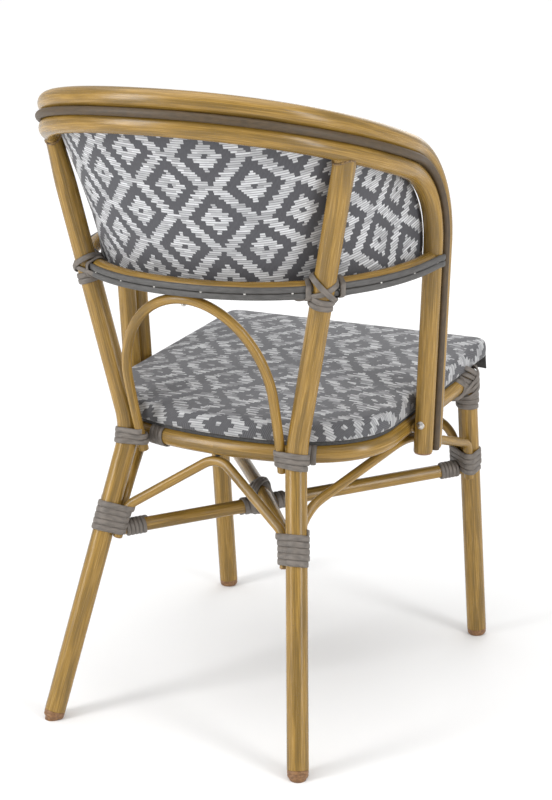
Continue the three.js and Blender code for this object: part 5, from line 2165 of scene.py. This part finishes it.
@dataclass
class SeatPad:
    """The seat's board and the cloth-covered pad on it, with an apron at its front."""

    plane: SeatPlane
    board_low: float = 12.8
    board_thickness: float = 6.0
    board_over: float = 6.0
    board_bevel: float = 0.5
    board_bevels: Pair = (0.6, 0.4)
    board_gap: float = 0.3
    over: float = 11.0
    front_over: float = 34.0
    corner: float = 14.0
    side: float = 27.0
    crown: float = 7.0
    crown_power: float = 2.4
    crown_rings: int = 26
    crown_ring_power: float = 0.9
    roll: float = 9.0
    roll_steps: int = 6
    roll_drop: float = 0.6
    edge_from: float = 2.0
    edge_cloth: float = 3.0
    top_cloth: float = 1.33
    apron_drop: float = 22.0
    apron_end: float = 4.0
    apron_top: float = 12.0
    apron_steps: int = 60
    apron_rows: int = 12
    waves: Sequence[Triple] = ((1.4, 0.055, 0.0), (0.8, 0.13, 1.0))
    flare: float = 2.2
    flare_from: float = 0.85
    hang_power: float = 1.5
    cloth_depths: Pair = (0.6, 1.5)
    lining_depths: Pair = (1.6, 2.6)
    cloth_middle: Vector = point_field(91.9, 67.3)
    cloth_turn: float = 0.0188
    slack: float = 34.0
    slack_from: float = -10.0
    slack_reach: float = 214.0
    slack_power: float = 1.68
    slack_shares: Pair = (0.3, 0.84)
    side_pull: float = 24.0
    side_pull_from: float = -60.0
    side_pull_reach: float = 120.0
    side_pull_drop: float = 20.0
    flat_from: float = 0.75
    flat_reach: float = 0.18
    fill: float = 0.8

    def __post_init__(self) -> None:
        """Works out the pad's foot, middle and reach and the apron's sizes."""
        self.low = self.board_low + self.board_thickness + self.board_gap
        self.middle_y = (self.plane.back_y + self.plane.front_y) / 2
        self.reach = self.plane.half_width + self.over
        self.apron_half = self.plane.half_width + self.plane.front_splay + self.over - self.apron_end
        self.apron_y = self.plane.front_y - self.front_over
        self.apron_high = self.apron_drop + self.apron_top

    def build(self, shop: Workshop) -> None:
        """Makes the board, the pad and its apron.

        Args:
            shop: The workshop.
        """
        self._board(shop)
        self._pad(shop)
        self._apron(shop)

    def _board(self, shop: Workshop) -> None:
        """Makes the dark board.

        Args:
            shop: The workshop.
        """
        low, top = self.board_low, self.board_low + self.board_thickness
        inner, (foot, head) = self.board_over - self.board_bevel, self.board_bevels
        rows = [(inner, low), (self.board_over, low + foot), (self.board_over, top - head), (inner, top)]
        rings = [[self.plane.place(x, y, h) for x, y in self.plane.outline(g, g)] for g, h in rows]
        shop.wear(shop.skin("board_lining", rings), shop.wardrobe.lining, "seat_board")

    def _pad(self, shop: Workshop) -> None:
        """Makes the pad, with its rolled edge and its crown.

        Args:
            shop: The workshop.
        """
        base = self.plane.outline(self.over, self.front_over, self.corner)
        rows = self._rows()
        rings = []
        for row in rows:
            places = [(x * row.share, self.middle_y + (y - self.middle_y) * row.share) for x, y in base]
            rings.append([self.plane.place(x, y, self.low + row.height) for x, y in places])
        pad = shop.skin("pad_cloth", rings, cloth=partial(self._pad_cloth, rows, base, self._ways(base)))
        # Marks where the pad lies flat; the seat cloth draws its floats more ragged and darker there.
        flat = pad.data.attributes.new("lies_flat", "FLOAT", "POINT")
        for vertex in pad.data.vertices:
            flat.data[vertex.index].value = eased((vertex.normal.z - self.flat_from) / self.flat_reach)
        shop.wear(pad, shop.wardrobe.seat_cloth, "seat_pad")

    def _rows(self) -> list[PadRow]:
        """Draws the pad's profile.

        Returns:
            Its rows from the foot by the rolled edge to near the crown's middle.
        """
        side, roll = self.side, self.roll
        edge = [(4.0, 0.0, side + 4), (1.2, 0.6, side), (0.0, 3.0, side - 3)]
        edge += [(-0.6, side * 0.35, side * 0.65), (-0.4, side * 0.55, side * 0.45)]
        for k in range(self.roll_steps + 1):
            angle = math.pi / 2 * k / self.roll_steps
            height = side - roll * (1 - math.sin(angle))
            edge.append((roll * (1 - math.cos(angle)), height, roll * (1 - angle * self.roll_drop)))
        rows = []
        for inset, height, drop in edge:
            fade = min((roll - inset) / (roll - self.edge_from), 1.0)
            drawn = drop + self.edge_cloth if inset < self.edge_from else drop * self.top_cloth * fade
            rows.append(PadRow(1 - inset / self.reach, height, drawn))
        for k in range(1, self.crown_rings):
            share = (1 - roll / self.reach) * (1 - (k / self.crown_rings) ** self.crown_ring_power)
            rows.append(PadRow(share, side + self.crown * (1 - share ** self.crown_power), 0.0))
        return rows

    def _ways(self, base: Sequence[Pair]) -> list[Vector]:
        """Finds the ways out of the pad's outline.

        Args:
            base: The outline.

        Returns:
            The way out at each of its points.
        """
        ways = []
        for j, (x, y) in enumerate(base):
            before, after = base[j - 1], base[(j + 1) % len(base)]
            way = Vector((after[1] - before[1], before[0] - after[0])).normalized()
            ways.append(way if way.x * x + way.y * (y - self.middle_y) > 0 else -way)
        return ways

    def _pad_cloth(
        self, rows: Sequence[PadRow], base: Sequence[Pair], ways: Sequence[Vector], i: int, j: int
    ) -> Pair:
        """Lays the cloth on the pad and down its edge.

        Args:
            rows: The pad's rows.
            base: Its outline.
            ways: The ways out of the outline.
            i: The row.
            j: The outline's point.

        Returns:
            The point's place on the cloth.
        """
        row, (x, y), (out_x, out_y) = rows[i], base[j], ways[j]
        at_left = kept((x - self.side_pull_from) / self.side_pull_reach)
        pulled = self.side_pull * at_left * min(row.drop / self.side_pull_drop, 1) * max(out_y, 0)
        away = (y - self.middle_y) * row.share
        return self._cut(x * row.share + out_x * row.drop - pulled, self.middle_y + away + out_y * row.drop)

    def _cut(self, x: float, y: float) -> Pair:
        """Finds a place of the seat on the cloth, which is drawn a little towards the front.

        Args:
            x: The place across.
            y: The place back.

        Returns:
            The place on the cloth.
        """
        drawn = self.slack * max((self.slack_from - y) / self.slack_reach, 0.0) ** self.slack_power
        across, ahead = self.slack_shares
        x, y = x - across * drawn - self.cloth_middle.x, y + ahead * drawn - self.cloth_middle.y
        c, s = math.cos(self.cloth_turn), math.sin(self.cloth_turn)
        return x * c + y * s, y * c - x * s

    def _apron(self, shop: Workshop) -> None:
        """Makes the apron, which hangs in shallow waves in front of the ring.

        Args:
            shop: The workshop.
        """
        apron = shop.skin("pad_apron", self._layer(*self.cloth_depths), cloth=self._apron_cloth)
        shop.wear(apron, shop.wardrobe.seat_cloth, "seat_pad")
        lining = shop.skin("apron_lining", self._layer(*self.lining_depths))
        shop.wear(lining, shop.wardrobe.lining)

    def _layer(self, near: float, far: float) -> list[Loop]:
        """Draws one layer of the apron.

        Args:
            near: How far behind the apron's face the layer starts.
            far: How far behind it the layer ends.

        Returns:
            The layer's rings, from the left.
        """
        half, rings = self.apron_half, []
        for i in range(self.apron_steps + 1):
            x = half * (1 - 2 * i / self.apron_steps)
            wave = sum(size * math.sin(x * pace + start) for size, pace, start in self.waves)
            flare = self.flare * max(abs(x) / half - self.flare_from, 0) / (1 - self.flare_from)
            line = []
            for k in range(self.apron_rows + 1):
                share = k / self.apron_rows
                back = (wave / 2 + flare) * (1 - share) ** self.hang_power
                height = self.low - self.apron_drop + share * self.apron_high + wave / 2 * (1 - share)
                line.append((self.apron_y - back, height))
            ring = [self.plane.place(x, y + near, z) for y, z in line]
            rings.append(ring + [self.plane.place(x, y + far, z) for y, z in reversed(line)])
        return rings

    def _apron_cloth(self, i: int, j: int) -> Pair:
        """Lays the cloth on the apron.

        Args:
            i: The ring.
            j: Its point, up the outside and down the inside.

        Returns:
            The point's place on the cloth.
        """
        share = min(j, 2 * self.apron_rows + 1 - j) / self.apron_rows
        x = self.apron_half * (1 - 2 * i / self.apron_steps)
        return self._cut(x, self.apron_y - (1 - share) * self.apron_high)


# Studio


@dataclass(frozen=True)
class Softbox:
    """A rectangular lamp that is aimed at the chair, in metres and watts."""

    name: str
    place: Triple
    wide: float
    high: float
    power: float

    def hang(self, aim: Vector) -> None:
        """Hangs the lamp.

        Args:
            aim: What it shines on.
        """
        data = bpy.data.lights.new(self.name, "AREA")
        data.shape = "RECTANGLE"
        data.size, data.size_y, data.energy = self.wide, self.high, self.power
        lamp = bpy.data.objects.new(self.name, data)
        lamp.location = self.place
        lamp.rotation_euler = (aim - Vector(self.place)).to_track_quat("-Z", "Y").to_euler()
        bpy.context.scene.collection.objects.link(lamp)


@dataclass
class Studio:
    """The camera, the floor and the lights."""

    eye: Vector = point_field(-1127.9, 2040.9, 1078.2)
    azimuth: float = 208.674
    elevation: float = 16.702
    roll: float = -0.618
    lens: float = 80.36
    sensor: float = 36.0
    shift: Pair = (0.00505, 0.0207)
    floor_size: float = 30.0
    glow_from: float = 0.8
    glow_to: float = 4.0
    aim: Vector = point_field(0, 0, 0.45)
    softboxes: Sequence[Softbox] = (
        Softbox("left softbox", (1.43, 2.17, 1.5), wide=0.7, high=2.2, power=42.0),
        Softbox("right softbox", (-2.52, 0.65, 1.4), wide=0.6, high=2.2, power=32.0),
        Softbox("top softbox", (0.2, 0.1, 3.0), wide=3.0, high=3.0, power=46.0),
        Softbox("front softbox", (0.4, -2.8, 1.6), wide=1.6, high=1.6, power=14.0),
    )
    sky: float = 0.66

    def build(self) -> None:
        """Makes the studio."""
        self._camera()
        self._floor()
        for softbox in self.softboxes:
            softbox.hang(self.aim)
        self._sky()

    def _camera(self) -> None:
        """Puts the camera where the photograph was taken from."""
        a, e, r = (math.radians(v) for v in (self.azimuth, self.elevation, self.roll))
        back = Vector((math.sin(a) * math.cos(e), -math.cos(a) * math.cos(e), math.sin(e)))
        right = Vector((math.cos(a), math.sin(a), 0))
        up = back.cross(right)
        right, up = right * math.cos(r) + up * math.sin(r), up * math.cos(r) - right * math.sin(r)
        eye = (self.eye + BACKWARD * FOOTPRINT_SHIFT) * MM
        data = bpy.data.cameras.new("photo camera")
        data.lens, data.sensor_width, data.sensor_fit = self.lens, self.sensor, "AUTO"
        data.shift_x, data.shift_y = self.shift
        camera = bpy.data.objects.new("photo camera", data)
        rows = [[right[i], up[i], back[i], eye[i]] for i in range(3)] + [[0, 0, 0, 1]]
        camera.matrix_world = Matrix(rows)
        bpy.context.scene.collection.objects.link(camera)
        bpy.context.scene.camera = camera

    def _floor(self) -> None:
        """Lays a pale floor that glows more the further it lies from the chair."""
        bm = bmesh.new()
        bmesh.ops.create_grid(bm, x_segments=1, y_segments=1, size=self.floor_size)
        mesh = bpy.data.meshes.new("floor")
        bm.to_mesh(mesh)
        bm.free()
        floor = bpy.data.objects.new("floor", mesh)
        bpy.context.scene.collection.objects.link(floor)
        shader = Shader("pale floor")
        place = shader.add("ShaderNodeTexCoord", {}, [], "Object")
        away = shader.add("ShaderNodeVectorMath", {"operation": "LENGTH"}, [place], "Value")
        glow = shader.blend(away.ramp(self.glow_from, self.glow_to), (0.0, 0.0, 0.0), (0.44, 0.44, 0.44))
        paint = shader.finish(
            "floor", base_color=(0.86, 0.86, 0.86, 1.0), roughness=0.9, specular_ior_level=0.1,
            emission_color=glow, emission_strength=1.0,
        )
        mesh.materials.append(paint.material)

    def _sky(self) -> None:
        """Sets the sky's light and shows colours as they are."""
        world = bpy.data.worlds.new("studio")
        world.use_nodes = True
        sky = next(n for n in world.node_tree.nodes if n.type == "BACKGROUND")
        sky.inputs["Color"].default_value = (1.0, 1.0, 1.0, 1.0)
        sky.inputs["Strength"].default_value = self.sky
        bpy.context.scene.world = world
        bpy.context.scene.view_settings.view_transform = "Standard"


def dress_nodes(wardrobe: Wardrobe) -> None:
    """Dresses the CAD nodes that are still shown.

    Args:
        wardrobe: The chair's finishes.
    """
    finishes = {"arm_spacer": wardrobe.spacer, "arch_spacer": wardrobe.rubber}
    for name, node in frame["nodes"].items():
        for start, finish in finishes.items():
            if name.startswith(start):
                node.data.materials.clear()
                node.data.materials.append(finish.material)


def main() -> None:
    """Builds the chair and its studio in order."""
    logging.basicConfig(level=logging.INFO, format="%(message)s")
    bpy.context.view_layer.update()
    wardrobe = Wardrobe()
    shop = Workshop(wardrobe)
    Studio().build()
    rail = TopRail()
    rail.build(shop)
    lower = LowerRail(rail)
    lower.build(shop)
    legs = Legs(rail)
    legs.build(shop)
    plane = SeatPlane()
    seat = SeatFrame(plane, legs, lower)
    seat.build(shop)
    Bindings(seat).build(shop)
    Lashings(seat).build(shop)
    Fixings(legs).build(shop)
    BackPanel(rail, lower).build(shop)
    SeatPad(plane).build(shop)
    dress_nodes(wardrobe)


if __name__ == "__main__":
    main()
